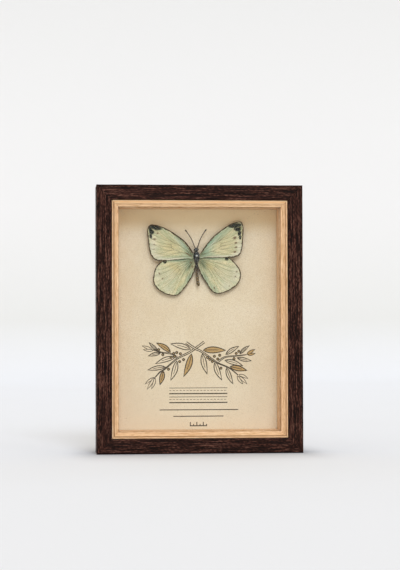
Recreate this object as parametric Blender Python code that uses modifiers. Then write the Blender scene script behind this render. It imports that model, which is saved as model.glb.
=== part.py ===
"""A butterfly specimen pinned in a deep wooden box frame, which stands on its bottom rail.

X is the frame's width, +Z is up and the glass faces -Y. The origin is the middle of the
bottom of the frame's box. Depths are measured backwards from the front of the frame.
"""

import math

import bmesh
import bpy
from mathutils import Matrix, Vector

MM = 0.001

# Driving dimensions of the frame. The opening takes a 6 by 8 inch insert.
FRAME_WIDTH = 178 * MM
FRAME_HEIGHT = 231 * MM
FRAME_DEPTH = 38 * MM
RAIL_WIDTH = 13 * MM
SLIP_WIDTH = 5.6 * MM
CLEARANCE = 0.3 * MM

# Rounded edges of a rail: outer front, inner front, and the two at the back.
OUTER_EDGE_RADIUS = 1.8 * MM
INNER_EDGE_RADIUS = 0.8 * MM
BACK_EDGE_RADIUS = 0.6 * MM

# Depths of the layers, each a clearance behind the one before it.
SLIP_FRONT = 1.3 * MM
SLIP_SIGHT_DEPTH = 4.3 * MM
SLIP_BACK = 7.5 * MM
GLASS_THICKNESS = 2.0 * MM
CARD_DEPTH = 28.1 * MM
CARD_THICKNESS = 0.5 * MM
PINNING_BOARD_THICKNESS = 3.0 * MM
BACK_BOARD_THICKNESS = 2.2 * MM
SPACER_SETBACK = 0.75 * MM

GLASS_DEPTH = SLIP_BACK + CLEARANCE
SPACER_DEPTH = GLASS_DEPTH + GLASS_THICKNESS + CLEARANCE
PINNING_BOARD_DEPTH = CARD_DEPTH + CARD_THICKNESS + CLEARANCE
BACK_BOARD_DEPTH = PINNING_BOARD_DEPTH + PINNING_BOARD_THICKNESS + CLEARANCE
BACK_BOARD_BACK = BACK_BOARD_DEPTH + BACK_BOARD_THICKNESS

# The slip's moulding, across its width from the rail inwards.
BEAD_RADIUS = 0.6 * MM
GROOVE_WIDTH = 0.8 * MM
GROOVE_DEPTH = 0.8 * MM
LIP_WIDTH = 1.0 * MM
LIP_STEP = 0.25 * MM

# Flexible points that hold the back board: steel tabs with their tips in slots in the rails.
POINT_THICKNESS = 0.4 * MM
POINT_WIDTH = 7.0 * MM
POINT_IN_WOOD = 5.5 * MM
POINT_OUT = 9.0 * MM
SIDE_POINT_OFFSET = 55 * MM
POINTS = {
    "retaining_point_left_lower": ("left", -SIDE_POINT_OFFSET),
    "retaining_point_left_upper": ("left", SIDE_POINT_OFFSET),
    "retaining_point_right_lower": ("right", SIDE_POINT_OFFSET),
    "retaining_point_right_upper": ("right", -SIDE_POINT_OFFSET),
    "retaining_point_top": ("top", 0.0),
    "retaining_point_bottom": ("bottom", 0.0),
}

# Sawtooth hanger on the back board.
HANGER_LENGTH = 44 * MM
HANGER_WIDTH = 8 * MM
HANGER_THICKNESS = 0.7 * MM
HANGER_RISE = 1.5 * MM
HANGER_TAB = 8.5 * MM
HANGER_HEIGHT = 196 * MM
TOOTH_PITCH = 3.0 * MM
TOOTH_DEPTH = 2.2 * MM
TOOTH_COUNT = 7
RIVET_RADIUS = 0.9 * MM
RIVET_HEAD_RADIUS = 2.0 * MM
RIVET_HEAD_HEIGHT = 0.7 * MM
RIVET_HOLE_DEPTH = 1.6 * MM

# The butterfly: its thorax's middle on the card, how deep it floats, and how it is turned.
BUTTERFLY_X = -1.25 * MM
BUTTERFLY_Z = 170.3 * MM
BUTTERFLY_DEPTH = 24.4 * MM
BUTTERFLY_TURN = -1.6

WING_THICKNESS = 0.3 * MM
WING_STAGGER = 0.65 * MM
WING_LIFT = 1.1 * MM
WING_REACH = 41 * MM
WING_CAMBER = 0.3 * MM
WING_CHORD = 36 * MM

# Wing outlines in millimetres from the thorax's middle: outwards from the body, and up.
# They start at the root, run out along the front edge and come back along the rear one.
WING_OUTLINES = {
    "forewing_left": (
        (3.1, -1.2), (2.8, 1.4), (3.0, 3.6), (5.1, 7.4), (9.7, 13.5), (16.3, 18.9),
        (24.1, 24.0), (30.8, 27.1), (36.0, 28.6), (39.8, 28.5), (41.9, 26.0), (41.9, 16.0),
        (41.0, 6.8), (39.2, 1.2), (35.8, -2.2), (29.2, -2.9), (16.0, -2.4), (7.5, -1.8),
    ),
    "forewing_right": (
        (3.1, -1.2), (2.9, 1.0), (3.9, 3.4), (5.7, 6.0), (9.3, 10.7), (16.3, 17.9),
        (23.8, 23.4), (30.7, 27.4), (36.8, 29.4), (40.0, 29.3), (41.5, 26.6), (41.3, 14.8),
        (40.2, 5.7), (38.2, 0.8), (34.4, -1.3), (27.3, -1.7), (14.0, -1.5), (7.0, -1.3),
    ),
    "hindwing_left": (
        (2.9, -1.7), (8.0, 0.6), (17.0, 0.8), (25.0, -0.6), (30.2, -3.4), (35.5, -8.2),
        (37.8, -15.0), (38.4, -21.0), (35.5, -26.6), (30.0, -31.0), (22.1, -33.7),
        (17.2, -33.2), (12.8, -29.3), (7.1, -21.9), (2.9, -14.8), (1.5, -10.6), (1.4, -7.5),
        (1.9, -4.6),
    ),
    "hindwing_right": (
        (2.9, -1.7), (8.0, 0.6), (17.0, 1.0), (24.0, 0.4), (29.4, -2.4), (34.6, -7.7),
        (38.0, -13.3), (38.4, -18.9), (36.0, -24.5), (30.3, -29.2), (24.0, -32.1),
        (17.4, -33.2), (12.9, -31.0), (8.3, -24.2), (4.2, -17.3), (1.9, -11.9), (1.4, -8.0),
        (1.9, -4.6),
    ),
}

# Head and thorax as a turned profile in millimetres: radius, and height from the thorax's middle.
HEAD_AND_THORAX = (
    (0.0, 7.7), (0.9, 7.4), (1.6, 6.6), (1.8, 5.7), (1.5, 4.8), (1.05, 4.2), (1.6, 3.6),
    (2.3, 2.7), (2.65, 1.4), (2.7, 0.2), (2.55, -1.0), (2.1, -2.4), (1.5, -4.0), (1.05, -5.8),
)
WAIST_Z = -7.4
WAIST_RADIUS = 0.85
ABDOMEN_END_Z = -24.8
ABDOMEN_TIP_Z = -26.2
ABDOMEN_RADIUS = 1.45
ABDOMEN_RINGS = 7
RING_DIP = 0.88
BODY_STEPS = 16

EYE_RADIUS = 1.05 * MM
EYE_PLACE = (1.2 * MM, -0.5 * MM, 5.9 * MM)

# One folded leg, in millimetres from where it leaves the thorax: hip, knee, ankle and foot.
LEG_ROUTE = ((0.0, 0.0, 0.0), (2.6, 1.0, 0.6), (3.6, 1.2, -2.4), (4.6, 1.3, -4.2))
LEG_HIP = (1.0 * MM, 1.5 * MM)
LEG_ROWS = (1.0 * MM, -0.6 * MM, -2.2 * MM)
LEG_RADIUS = 0.22 * MM

ANTENNA_BASE = (1.25, 0.0, 7.65)
ANTENNA_TIP = (9.3, -0.9, 23.5)
ANTENNA_BOW = 1.1
ANTENNA_RADIUS = 0.22 * MM
CLUB_RADIUS = 0.5 * MM
CLUB_SHARE = 0.14
ANTENNA_POINTS = 14

PIN_RADIUS = 0.3 * MM
PIN_HOLE_RADIUS = 0.6 * MM
PIN_HEAD_RADIUS = 0.95 * MM
PIN_HEAD_FRONT = -4.95 * MM
PIN_TIP = 6.2 * MM
PIN_POINT_LENGTH = 1.2 * MM
PIN_HOLE_END = 31.3 * MM
PIN_Z = 0.4 * MM

# How far a cutter reaches past the surface that it cuts, and how deep a wing's outline cuts.
OVERCUT = 1.0 * MM
OUTLINE_CUT_DEPTH = 12 * MM

# Each side of the frame is the bottom one turned about the frame's middle.
SIDE_TURNS = {"bottom": 0, "left": 90, "top": 180, "right": 270}

# A bar's outline has x inwards and y backwards; a plate's has x inwards and y along the side.
BAR_AXES = Matrix(((0, 0, -1, 0), (0, 1, 0, 0), (1, 0, 0, 0), (0, 0, 0, 1)))
PLATE_AXES = Matrix(((0, 1, 0, 0), (0, 0, 1, 0), (1, 0, 0, 0), (0, 0, 0, 1)))
# A plate that faces the front keeps its x and has its y upright.
UPRIGHT = Matrix.Rotation(math.radians(90), 4, "X")


def clear_scene():
    for old in list(bpy.data.objects):
        bpy.data.objects.remove(old)


def new_collection(name):
    collection = bpy.data.collections.new(name)
    bpy.context.scene.collection.children.link(collection)
    return collection


def principled(name, colour, roughness, metallic=0.0, alpha=1.0):
    material = bpy.data.materials.new(name)
    material.use_nodes = True
    shader = material.node_tree.nodes["Principled BSDF"]
    shader.inputs["Base Color"].default_value = (*colour, 1.0)
    shader.inputs["Roughness"].default_value = roughness
    shader.inputs["Metallic"].default_value = metallic
    shader.inputs["Alpha"].default_value = alpha
    return material


def place(name, mesh, collection, material=None, parent=None):
    """An object for the mesh in the collection, with its material and parent."""
    piece = bpy.data.objects.new(name, mesh)
    collection.objects.link(piece)
    piece.parent = parent
    if material:
        mesh.materials.clear()
        mesh.materials.append(material)
    return piece


def as_cutter(piece):
    piece.hide_render = True
    piece.display_type = "WIRE"
    return piece


def boolean(piece, other, operation):
    modifier = piece.modifiers.new(f"{operation.lower()} {other.name}", "BOOLEAN")
    modifier.operation = operation
    modifier.object = other


def mesh_from_curve(name, curve):
    """The curve's evaluated surface as a closed mesh, with its caps welded on."""
    holder = bpy.data.objects.new(name, curve)
    bpy.context.scene.collection.objects.link(holder)
    evaluated = holder.evaluated_get(bpy.context.evaluated_depsgraph_get())
    mesh = bpy.data.meshes.new_from_object(evaluated)
    mesh.name = name
    bpy.data.objects.remove(holder)
    body = bmesh.new()
    body.from_mesh(mesh)
    bmesh.ops.remove_doubles(body, verts=body.verts, dist=1e-7)
    bmesh.ops.recalc_face_normals(body, faces=body.faces)
    body.to_mesh(mesh)
    body.free()
    return mesh


def plate_mesh(name, outline, thickness, smooth=False):
    """A closed outline in the XY plane, made solid evenly above and below it."""
    curve = bpy.data.curves.new(name, "CURVE")
    curve.dimensions = "2D"
    curve.fill_mode = "BOTH"
    curve.extrude = thickness / 2
    curve.resolution_u = 4
    spline = curve.splines.new("BEZIER" if smooth else "POLY")
    points = spline.bezier_points if smooth else spline.points
    points.add(len(outline) - 1)
    for point, (x, y) in zip(points, outline):
        if smooth:
            point.co = (x, y, 0)
            point.handle_left_type = "AUTO"
            point.handle_right_type = "AUTO"
        else:
            point.co = (x, y, 0, 1)
    spline.use_cyclic_u = True
    return mesh_from_curve(name, curve)


def tube_mesh(name, route, radii, thickness):
    """A round bar along the route, closed at both ends; each point has its share of thickness."""
    curve = bpy.data.curves.new(name, "CURVE")
    curve.dimensions = "3D"
    curve.bevel_depth = thickness
    curve.bevel_resolution = 1
    curve.use_fill_caps = True
    spline = curve.splines.new("POLY")
    spline.points.add(len(route) - 1)
    for point, place_on_route, radius in zip(spline.points, route, radii):
        point.co = (*place_on_route, 1)
        point.radius = radius
    return mesh_from_curve(name, curve)


def box_mesh(name, low, high):
    bpy.ops.mesh.primitive_cube_add(size=1)
    cube = bpy.context.object
    mesh = cube.data
    mesh.name = name
    size = [b - a for a, b in zip(low, high)]
    middle = [(a + b) / 2 for a, b in zip(low, high)]
    mesh.transform(Matrix.Translation(middle) @ Matrix.Diagonal((*size, 1)))
    bpy.data.objects.remove(cube)
    return mesh


def cylinder_mesh(name, radius, front, back, sides=16):
    """A round bar along Y between two depths."""
    body = bmesh.new()
    bmesh.ops.create_cone(
        body, cap_ends=True, segments=sides, radius1=radius, radius2=radius, depth=back - front
    )
    mesh = bpy.data.meshes.new(name)
    body.to_mesh(mesh)
    body.free()
    mesh.transform(Matrix.Translation((0, (front + back) / 2, 0)) @ UPRIGHT)
    return mesh


def turned(name, profile, collection, material, parent=None, steps=BODY_STEPS):
    """A solid of revolution about Z; the profile runs from its top down the outer side."""
    mesh = bpy.data.meshes.new(name)
    body = bmesh.new()
    points = [body.verts.new((radius, 0, height)) for radius, height in profile]
    for upper, lower in zip(points, points[1:]):
        body.edges.new((upper, lower))
    body.to_mesh(mesh)
    body.free()
    piece = place(name, mesh, collection, material, parent)
    screw = piece.modifiers.new("turn", "SCREW")
    screw.steps = steps
    screw.render_steps = steps
    screw.use_merge_vertices = True
    screw.merge_threshold = 1e-6
    screw.use_smooth_shade = True
    return piece


def arc(centre, radius, start, end, steps):
    """Points on an arc, in degrees from start to end."""
    points = []
    for step in range(steps + 1):
        angle = math.radians(start + (end - start) * step / steps)
        points.append((centre[0] + radius * math.cos(angle), centre[1] + radius * math.sin(angle)))
    return points


def rail_outline():
    """A rail's cross-section: x inwards from the frame's outside, y backwards from its front."""
    outer, inner, back = OUTER_EDGE_RADIUS, INNER_EDGE_RADIUS, BACK_EDGE_RADIUS
    width, depth = RAIL_WIDTH, FRAME_DEPTH
    return (
        arc((outer, outer), outer, 180, 270, 5)
        + arc((width - inner, inner), inner, 270, 360, 3)
        + arc((width - back, depth - back), back, 0, 90, 2)
        + arc((back, depth - back), back, 90, 180, 2)
    )


def slip_outline():
    """A slip's cross-section: a bead, a groove, then a band that slopes back to a thin lip."""
    start = RAIL_WIDTH + CLEARANCE
    end = RAIL_WIDTH + SLIP_WIDTH
    bead_middle = start + BEAD_RADIUS
    groove_start = bead_middle + BEAD_RADIUS
    groove_end = groove_start + GROOVE_WIDTH
    groove_floor = SLIP_FRONT + BEAD_RADIUS + GROOVE_DEPTH
    band_front = SLIP_FRONT + 0.5 * BEAD_RADIUS
    lip_depth = SLIP_SIGHT_DEPTH - LIP_STEP
    bead = arc((bead_middle, SLIP_FRONT + BEAD_RADIUS), BEAD_RADIUS, 180, 360, 6)
    return (
        [(start, SLIP_BACK)]
        + bead
        + [
            (groove_start, groove_floor),
            (groove_end, groove_floor),
            (groove_end, band_front),
            (end - LIP_WIDTH, lip_depth - LIP_STEP),
            (end - LIP_WIDTH, lip_depth),
            (end, SLIP_SIGHT_DEPTH),
            (end, SLIP_BACK),
        ]
    )


def side_length(side):
    return FRAME_WIDTH if side in ("top", "bottom") else FRAME_HEIGHT


def put_on_side(piece, side):
    """Moves a piece that was made for the bottom side, from its outer edge up, to its own side."""
    turn = Matrix.Rotation(math.radians(SIDE_TURNS[side]), 4, "Y")
    reach = side_length("left") / 2 if side in ("top", "bottom") else side_length("top") / 2
    centre = Vector((0, -FRAME_DEPTH / 2, FRAME_HEIGHT / 2))
    piece.location = centre + turn @ Vector((0, 0, -reach))
    piece.rotation_euler = turn.to_euler()


def mitred_bar(name, outline, side, collection, material):
    """A moulding along one side of the frame, cut at 45 degrees at both ends."""
    length = side_length(side)
    mesh = plate_mesh(name, outline, length)
    body = bmesh.new()
    body.from_mesh(mesh)
    end = length / 2 - CLEARANCE / math.sqrt(2)
    for direction in (1, -1):
        bmesh.ops.bisect_plane(
            body,
            geom=body.verts[:] + body.edges[:] + body.faces[:],
            plane_co=(0, 0, direction * end),
            plane_no=Vector((1, 0, direction)).normalized(),
            clear_outer=True,
        )
        rim = [edge for edge in body.edges if edge.is_boundary]
        bmesh.ops.holes_fill(body, edges=rim, sides=0)
    body.to_mesh(mesh)
    body.free()
    mesh.transform(BAR_AXES)
    piece = place(name, mesh, collection, material)
    put_on_side(piece, side)
    return piece


def make_frame(parts, cutters, rail_wood, slip_wood, steel):
    rails = {}
    for side in SIDE_TURNS:
        rails[side] = mitred_bar(f"rail_{side}", rail_outline(), side, parts, rail_wood)
        mitred_bar(f"slip_{side}", slip_outline(), side, parts, slip_wood)
    for name, (side, offset) in POINTS.items():
        make_retaining_point(name, side, offset, rails[side], parts, cutters, steel)


def make_retaining_point(name, side, offset, rail, parts, cutters, steel):
    """A flat steel tab whose pointed end sits in a slot in the rail."""
    half = POINT_WIDTH / 2
    tip = RAIL_WIDTH - POINT_IN_WOOD
    shoulder = tip + half
    end = RAIL_WIDTH + POINT_OUT
    outline = [(tip, 0), (shoulder, -half)] + arc((end - half, 0), half, -90, 90, 8) + [(shoulder, half)]
    depth = BACK_BOARD_BACK + CLEARANCE
    move = Matrix.Translation((offset, depth + POINT_THICKNESS / 2, 0))
    mesh = plate_mesh(name, outline, POINT_THICKNESS)
    mesh.transform(move @ PLATE_AXES)
    put_on_side(place(name, mesh, parts, steel), side)

    low = (offset - half - CLEARANCE, depth - CLEARANCE, tip - CLEARANCE)
    high = (
        offset + half + CLEARANCE,
        depth + POINT_THICKNESS + CLEARANCE,
        RAIL_WIDTH + OVERCUT,
    )
    slot = as_cutter(place(f"slot {name}", box_mesh(f"slot {name}", low, high), cutters))
    put_on_side(slot, side)
    boolean(rail, slot, "DIFFERENCE")


def upright_box(name, side_gap, bottom_gap, front, thickness, collection, material):
    """A sheet that fills the frame's outline less a gap at each side and at top and bottom."""
    half = FRAME_WIDTH / 2 - side_gap
    y = front - FRAME_DEPTH / 2
    low = (-half, y, bottom_gap)
    high = (half, y + thickness, FRAME_HEIGHT - bottom_gap)
    return place(name, box_mesh(name, low, high), collection, material)


def make_spacers(parts, material):
    """Four strips between glass and card; the upright ones run the opening's full height."""
    outside = RAIL_WIDTH + CLEARANCE
    inside = RAIL_WIDTH + SLIP_WIDTH + SPACER_SETBACK
    for side in SIDE_TURNS:
        cut_back = outside if side in ("left", "right") else inside + CLEARANCE
        half = side_length(side) / 2 - cut_back
        name = f"spacer_{side}"
        low = (-half, SPACER_DEPTH, outside)
        high = (half, CARD_DEPTH - CLEARANCE, inside)
        put_on_side(place(name, box_mesh(name, low, high), parts, material), side)


def hole_cutter(name, radius, front, back, x, z, cutters):
    hole = place(name, cylinder_mesh(name, radius, front, back), cutters)
    hole.location = (x, -FRAME_DEPTH / 2, z)
    return as_cutter(hole)


def make_boards(parts, cutters, paper, foam, board):
    """The printed card, the foam that takes the pin, and the back board."""
    gap = RAIL_WIDTH + CLEARANCE
    card = upright_box("print_card", gap, gap, CARD_DEPTH, CARD_THICKNESS, parts, paper)
    pinning_board = upright_box(
        "pinning_board", gap, gap, PINNING_BOARD_DEPTH, PINNING_BOARD_THICKNESS, parts, foam
    )
    back_board = upright_box(
        "back_board", gap, gap, BACK_BOARD_DEPTH, BACK_BOARD_THICKNESS, parts, board
    )
    turn = Matrix.Rotation(math.radians(BUTTERFLY_TURN), 4, "Y")
    pin_place = Vector((BUTTERFLY_X, 0, BUTTERFLY_Z)) + turn @ Vector((0, 0, PIN_Z))
    front = CARD_DEPTH - OVERCUT
    for sheet in (card, pinning_board):
        name = f"pin hole {sheet.name}"
        hole = hole_cutter(
            name, PIN_HOLE_RADIUS, front, PIN_HOLE_END, pin_place.x, pin_place.z, cutters
        )
        boolean(sheet, hole, "DIFFERENCE")
    return back_board


def make_hanger(back_board, parts, cutters, steel):
    """A sawtooth hanger: a strip with a raised middle, toothed along it, riveted at both ends."""
    half = HANGER_LENGTH / 2
    foot = BACK_BOARD_BACK + CLEARANCE
    shoulder = half - HANGER_TAB
    crest = shoulder - HANGER_RISE
    thickness = HANGER_THICKNESS
    strip = [
        (-half, foot), (-shoulder, foot), (-crest, foot + HANGER_RISE), (crest, foot + HANGER_RISE),
        (shoulder, foot), (half, foot), (half, foot + thickness),
        (shoulder, foot + thickness), (crest, foot + HANGER_RISE + thickness),
        (-crest, foot + HANGER_RISE + thickness), (-shoulder, foot + thickness),
        (-half, foot + thickness),
    ]
    mesh = plate_mesh("sawtooth_hanger", strip, HANGER_WIDTH)
    hanger = place("sawtooth_hanger", mesh, parts, steel)
    hanger.location = (0, -FRAME_DEPTH / 2, HANGER_HEIGHT)

    root = -HANGER_WIDTH / 2
    teeth = [(-TOOTH_COUNT * TOOTH_PITCH / 2, root - OVERCUT)]
    for tooth in range(TOOTH_COUNT):
        left = (tooth - TOOTH_COUNT / 2) * TOOTH_PITCH
        teeth += [(left, root), (left + TOOTH_PITCH / 2, root + TOOTH_DEPTH)]
    teeth += [(TOOTH_COUNT * TOOTH_PITCH / 2, root), (TOOTH_COUNT * TOOTH_PITCH / 2, root - OVERCUT)]
    teeth_mesh = plate_mesh("hanger teeth", teeth, 2 * (HANGER_RISE + 2 * thickness))
    teeth_mesh.transform(UPRIGHT)
    teeth_cutter = as_cutter(place("hanger teeth", teeth_mesh, cutters))
    teeth_cutter.location = (0, foot + HANGER_RISE - FRAME_DEPTH / 2, HANGER_HEIGHT)
    boolean(hanger, teeth_cutter, "DIFFERENCE")

    rivet_x = half - HANGER_TAB / 2
    head_front = foot + thickness + CLEARANCE
    shank_end = BACK_BOARD_BACK - RIVET_HOLE_DEPTH + CLEARANCE
    for side, x in (("left", -rivet_x), ("right", rivet_x)):
        profile = [
            (0, RIVET_HEAD_HEIGHT),
            (RIVET_HEAD_RADIUS * 0.7, RIVET_HEAD_HEIGHT * 0.8),
            (RIVET_HEAD_RADIUS, 0),
            (RIVET_RADIUS, 0),
            (RIVET_RADIUS, shank_end - head_front),
            (0, shank_end - head_front),
        ]
        rivet = turned(f"hanger_rivet_{side}", profile, parts, steel)
        rivet.location = (x, head_front - FRAME_DEPTH / 2, HANGER_HEIGHT)
        rivet.rotation_euler = (math.radians(-90), 0, 0)
        hole = hole_cutter(
            f"rivet hole {side}",
            RIVET_RADIUS + CLEARANCE,
            BACK_BOARD_BACK - RIVET_HOLE_DEPTH,
            head_front + OVERCUT,
            x,
            HANGER_HEIGHT,
            cutters,
        )
        boolean(hanger, hole, "DIFFERENCE")
        boolean(back_board, hole, "DIFFERENCE")


def wing_depth(x, z):
    """How far forward a spread wing stands: its tip is lifted and its middle is bowed."""
    lift = WING_LIFT * (x / WING_REACH) ** 2
    camber = WING_CAMBER * math.cos(math.pi / 2 * z / WING_CHORD)
    return WING_CAMBER - lift - camber


def make_wing(name, outline, parts, cutters, material, parent):
    """A thin bowed sheet, cut to the wing's outline."""
    mirror = -1 if name.endswith("left") else 1
    points = [(mirror * x * MM, z * MM) for x, z in outline]
    xs = [x for x, _ in points]
    zs = [z for _, z in points]
    low = Vector((min(xs) - OVERCUT, min(zs) - OVERCUT, 0))
    high = Vector((max(xs) + OVERCUT, max(zs) + OVERCUT, 0))
    size = high - low

    body = bmesh.new()
    bmesh.ops.create_grid(body, x_segments=9, y_segments=7, size=0.5)
    stagger = WING_STAGGER if name.startswith("hindwing") else 0.0
    for vert in body.verts:
        x = low.x + (vert.co.x + 0.5) * size.x
        z = low.y + (vert.co.y + 0.5) * size.y
        vert.co = (x, wing_depth(x, z) + stagger, z)
    mesh = bpy.data.meshes.new(name)
    body.to_mesh(mesh)
    body.free()
    wing = place(name, mesh, parts, material, parent)
    solidify = wing.modifiers.new("membrane", "SOLIDIFY")
    solidify.thickness = WING_THICKNESS
    solidify.offset = 0

    cutter_mesh = plate_mesh(f"outline {name}", points, OUTLINE_CUT_DEPTH, smooth=True)
    cutter_mesh.transform(UPRIGHT)
    cutter = as_cutter(place(f"outline {name}", cutter_mesh, cutters, parent=parent))
    boolean(wing, cutter, "INTERSECT")


def body_profile():
    """Head, thorax and waist, then an abdomen whose rings swell between their joints."""
    profile = list(HEAD_AND_THORAX)
    for ring in range(ABDOMEN_RINGS):
        for share, swell in ((0.0, RING_DIP), (0.5, 1.0)):
            along = (ring + share) / ABDOMEN_RINGS
            radius = WAIST_RADIUS + (ABDOMEN_RADIUS - WAIST_RADIUS) * along
            profile.append((radius * swell, WAIST_Z + (ABDOMEN_END_Z - WAIST_Z) * along))
    profile += [(ABDOMEN_RADIUS * 0.75, ABDOMEN_END_Z), (0.0, ABDOMEN_TIP_Z)]
    return [(radius * MM, height * MM) for radius, height in profile]


def make_body(parts, cutters, material, parent):
    body = turned("butterfly_body", body_profile(), parts, material, parent)
    for mirror in (-1, 1):
        x, y, z = EYE_PLACE
        eye_bmesh = bmesh.new()
        bmesh.ops.create_uvsphere(eye_bmesh, u_segments=10, v_segments=7, radius=EYE_RADIUS)
        eye_mesh = bpy.data.meshes.new(f"eye {mirror}")
        eye_bmesh.to_mesh(eye_mesh)
        eye_bmesh.free()
        eye_mesh.transform(Matrix.Translation((mirror * x, y, z)))
        boolean(body, as_cutter(place(f"eye {mirror}", eye_mesh, cutters, parent=parent)), "UNION")
        for row, hip_z in enumerate(LEG_ROWS):
            hip = Vector((mirror * LEG_HIP[0], LEG_HIP[1], hip_z))
            route = [hip + Vector((mirror * x, y, z)) * MM for x, y, z in LEG_ROUTE]
            name = f"leg {mirror} {row}"
            leg_mesh = tube_mesh(name, route, (1.0, 1.0, 0.8, 0.6), LEG_RADIUS)
            boolean(body, as_cutter(place(name, leg_mesh, cutters, parent=parent)), "UNION")
    hole_mesh = cylinder_mesh("body pin hole", PIN_HOLE_RADIUS, -PIN_TIP, PIN_TIP)
    hole_mesh.transform(Matrix.Translation((0, 0, PIN_Z)))
    hole = as_cutter(place("body pin hole", hole_mesh, cutters, parent=parent))
    boolean(body, hole, "DIFFERENCE")


def make_antenna(name, mirror, parts, material, parent):
    """A feeler that bows outwards a little and ends in a club."""
    base, tip = Vector(ANTENNA_BASE), Vector(ANTENNA_TIP)
    route, radii = [], []
    for step in range(ANTENNA_POINTS):
        along = step / (ANTENNA_POINTS - 1)
        point = base.lerp(tip, along)
        point.x -= ANTENNA_BOW * math.sin(math.pi * along)
        route.append(Vector((mirror * point.x, point.y, point.z)) * MM)
        club = max(0.0, (along - 1 + CLUB_SHARE) / CLUB_SHARE)
        swell = math.sin(math.pi * (0.15 + 0.75 * club)) if club else 0.0
        radii.append(ANTENNA_RADIUS / CLUB_RADIUS + (1 - ANTENNA_RADIUS / CLUB_RADIUS) * swell)
    mesh = tube_mesh(name, route, radii, CLUB_RADIUS)
    mesh.shade_smooth()
    place(name, mesh, parts, material, parent)


def make_pin(parts, material, parent):
    """An insect pin: a round head in front of the thorax, a shank and a point."""
    head = arc((0, 0), PIN_HEAD_RADIUS, 90, -60, 7)
    centre = -PIN_HEAD_FRONT - PIN_HEAD_RADIUS
    profile = [(max(radius, 0.0), centre + height) for radius, height in head]
    profile += [
        (PIN_RADIUS, centre - PIN_HEAD_RADIUS),
        (PIN_RADIUS, -PIN_TIP + PIN_POINT_LENGTH),
        (0, -PIN_TIP),
    ]
    pin = turned("pin", profile, parts, material, parent, steps=12)
    pin.location = (0, 0, PIN_Z)
    pin.rotation_euler = (math.radians(90), 0, 0)


def make_butterfly(parts, cutters):
    wing_material = principled("wing", (0.55, 0.58, 0.36), 0.6)
    body_material = principled("insect_body", (0.05, 0.045, 0.035), 0.6)
    pin_material = principled("pin_steel", (0.6, 0.6, 0.62), 0.3, metallic=1.0)
    centre = bpy.data.objects.new("butterfly", None)
    parts.objects.link(centre)
    centre.location = (BUTTERFLY_X, BUTTERFLY_DEPTH - FRAME_DEPTH / 2, BUTTERFLY_Z)
    centre.rotation_euler = (0, math.radians(BUTTERFLY_TURN), 0)
    for name, outline in WING_OUTLINES.items():
        make_wing(name, outline, parts, cutters, wing_material, centre)
    make_body(parts, cutters, body_material, centre)
    make_antenna("antenna_left", -1, parts, body_material, centre)
    make_antenna("antenna_right", 1, parts, body_material, centre)
    make_pin(parts, pin_material, centre)


def main():
    clear_scene()
    parts = new_collection("framed_butterfly_specimen")
    cutters = new_collection("cutters")

    rail_wood = principled("dark_wood", (0.045, 0.022, 0.018), 0.5)
    slip_wood = principled("pale_wood", (0.72, 0.5, 0.29), 0.5)
    steel = principled("zinc_steel", (0.55, 0.56, 0.58), 0.35, metallic=1.0)
    glass = principled("clear_glass", (0.95, 0.97, 0.96), 0.03, alpha=0.15)
    paper = principled("card_paper", (0.75, 0.63, 0.42), 0.8)
    foam = principled("pinning_foam", (0.85, 0.83, 0.78), 0.9)
    board = principled("hardboard", (0.25, 0.15, 0.08), 0.7)

    make_frame(parts, cutters, rail_wood, slip_wood, steel)
    gap = RAIL_WIDTH + CLEARANCE
    upright_box("glass_pane", gap, gap, GLASS_DEPTH, GLASS_THICKNESS, parts, glass)
    make_spacers(parts, slip_wood)
    back_board = make_boards(parts, cutters, paper, foam, board)
    make_hanger(back_board, parts, cutters, steel)
    make_butterfly(parts, cutters)


main()
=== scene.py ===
# %% [markdown]
# # A butterfly in a deep box frame
#
# The frame is a shallow box: four dark rails with mitred corners, a pale slip inside them, glass,
# and four spacers that keep the glass well in front of a printed card. A pale green butterfly is
# pinned to the card and floats a few millimetres in front of it.
#
# The solid model of all these parts is packed already. This lesson loads it and then gives each
# part its real surface: grain, relief, scales, hairs and print.

# %% Load the solid model
import math

import bmesh
import bpy
import numpy as np
from mathutils import Matrix, Vector
from mathutils.geometry import delaunay_2d_cdt


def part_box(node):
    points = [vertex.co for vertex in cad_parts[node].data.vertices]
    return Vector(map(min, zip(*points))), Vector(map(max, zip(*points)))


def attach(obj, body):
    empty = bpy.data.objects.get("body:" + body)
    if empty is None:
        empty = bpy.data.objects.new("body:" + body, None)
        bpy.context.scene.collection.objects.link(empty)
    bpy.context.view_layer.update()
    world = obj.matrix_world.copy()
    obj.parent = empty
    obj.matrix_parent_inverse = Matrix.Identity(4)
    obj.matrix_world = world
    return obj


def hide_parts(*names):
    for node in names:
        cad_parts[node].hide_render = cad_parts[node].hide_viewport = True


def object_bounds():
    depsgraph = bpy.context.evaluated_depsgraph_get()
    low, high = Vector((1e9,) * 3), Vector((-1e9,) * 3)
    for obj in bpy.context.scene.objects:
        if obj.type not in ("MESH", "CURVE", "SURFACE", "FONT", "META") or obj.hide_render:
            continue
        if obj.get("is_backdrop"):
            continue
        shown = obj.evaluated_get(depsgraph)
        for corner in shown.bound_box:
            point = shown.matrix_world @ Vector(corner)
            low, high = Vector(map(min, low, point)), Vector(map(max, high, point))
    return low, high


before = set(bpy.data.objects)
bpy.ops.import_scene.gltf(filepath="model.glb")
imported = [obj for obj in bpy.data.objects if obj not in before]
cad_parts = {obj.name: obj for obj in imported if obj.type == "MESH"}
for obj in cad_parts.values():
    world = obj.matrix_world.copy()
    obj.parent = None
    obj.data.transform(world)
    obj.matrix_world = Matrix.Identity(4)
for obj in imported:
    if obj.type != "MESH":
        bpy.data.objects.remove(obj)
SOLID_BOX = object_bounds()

MM = 0.001
print("solid parts:", len(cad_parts))

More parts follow.
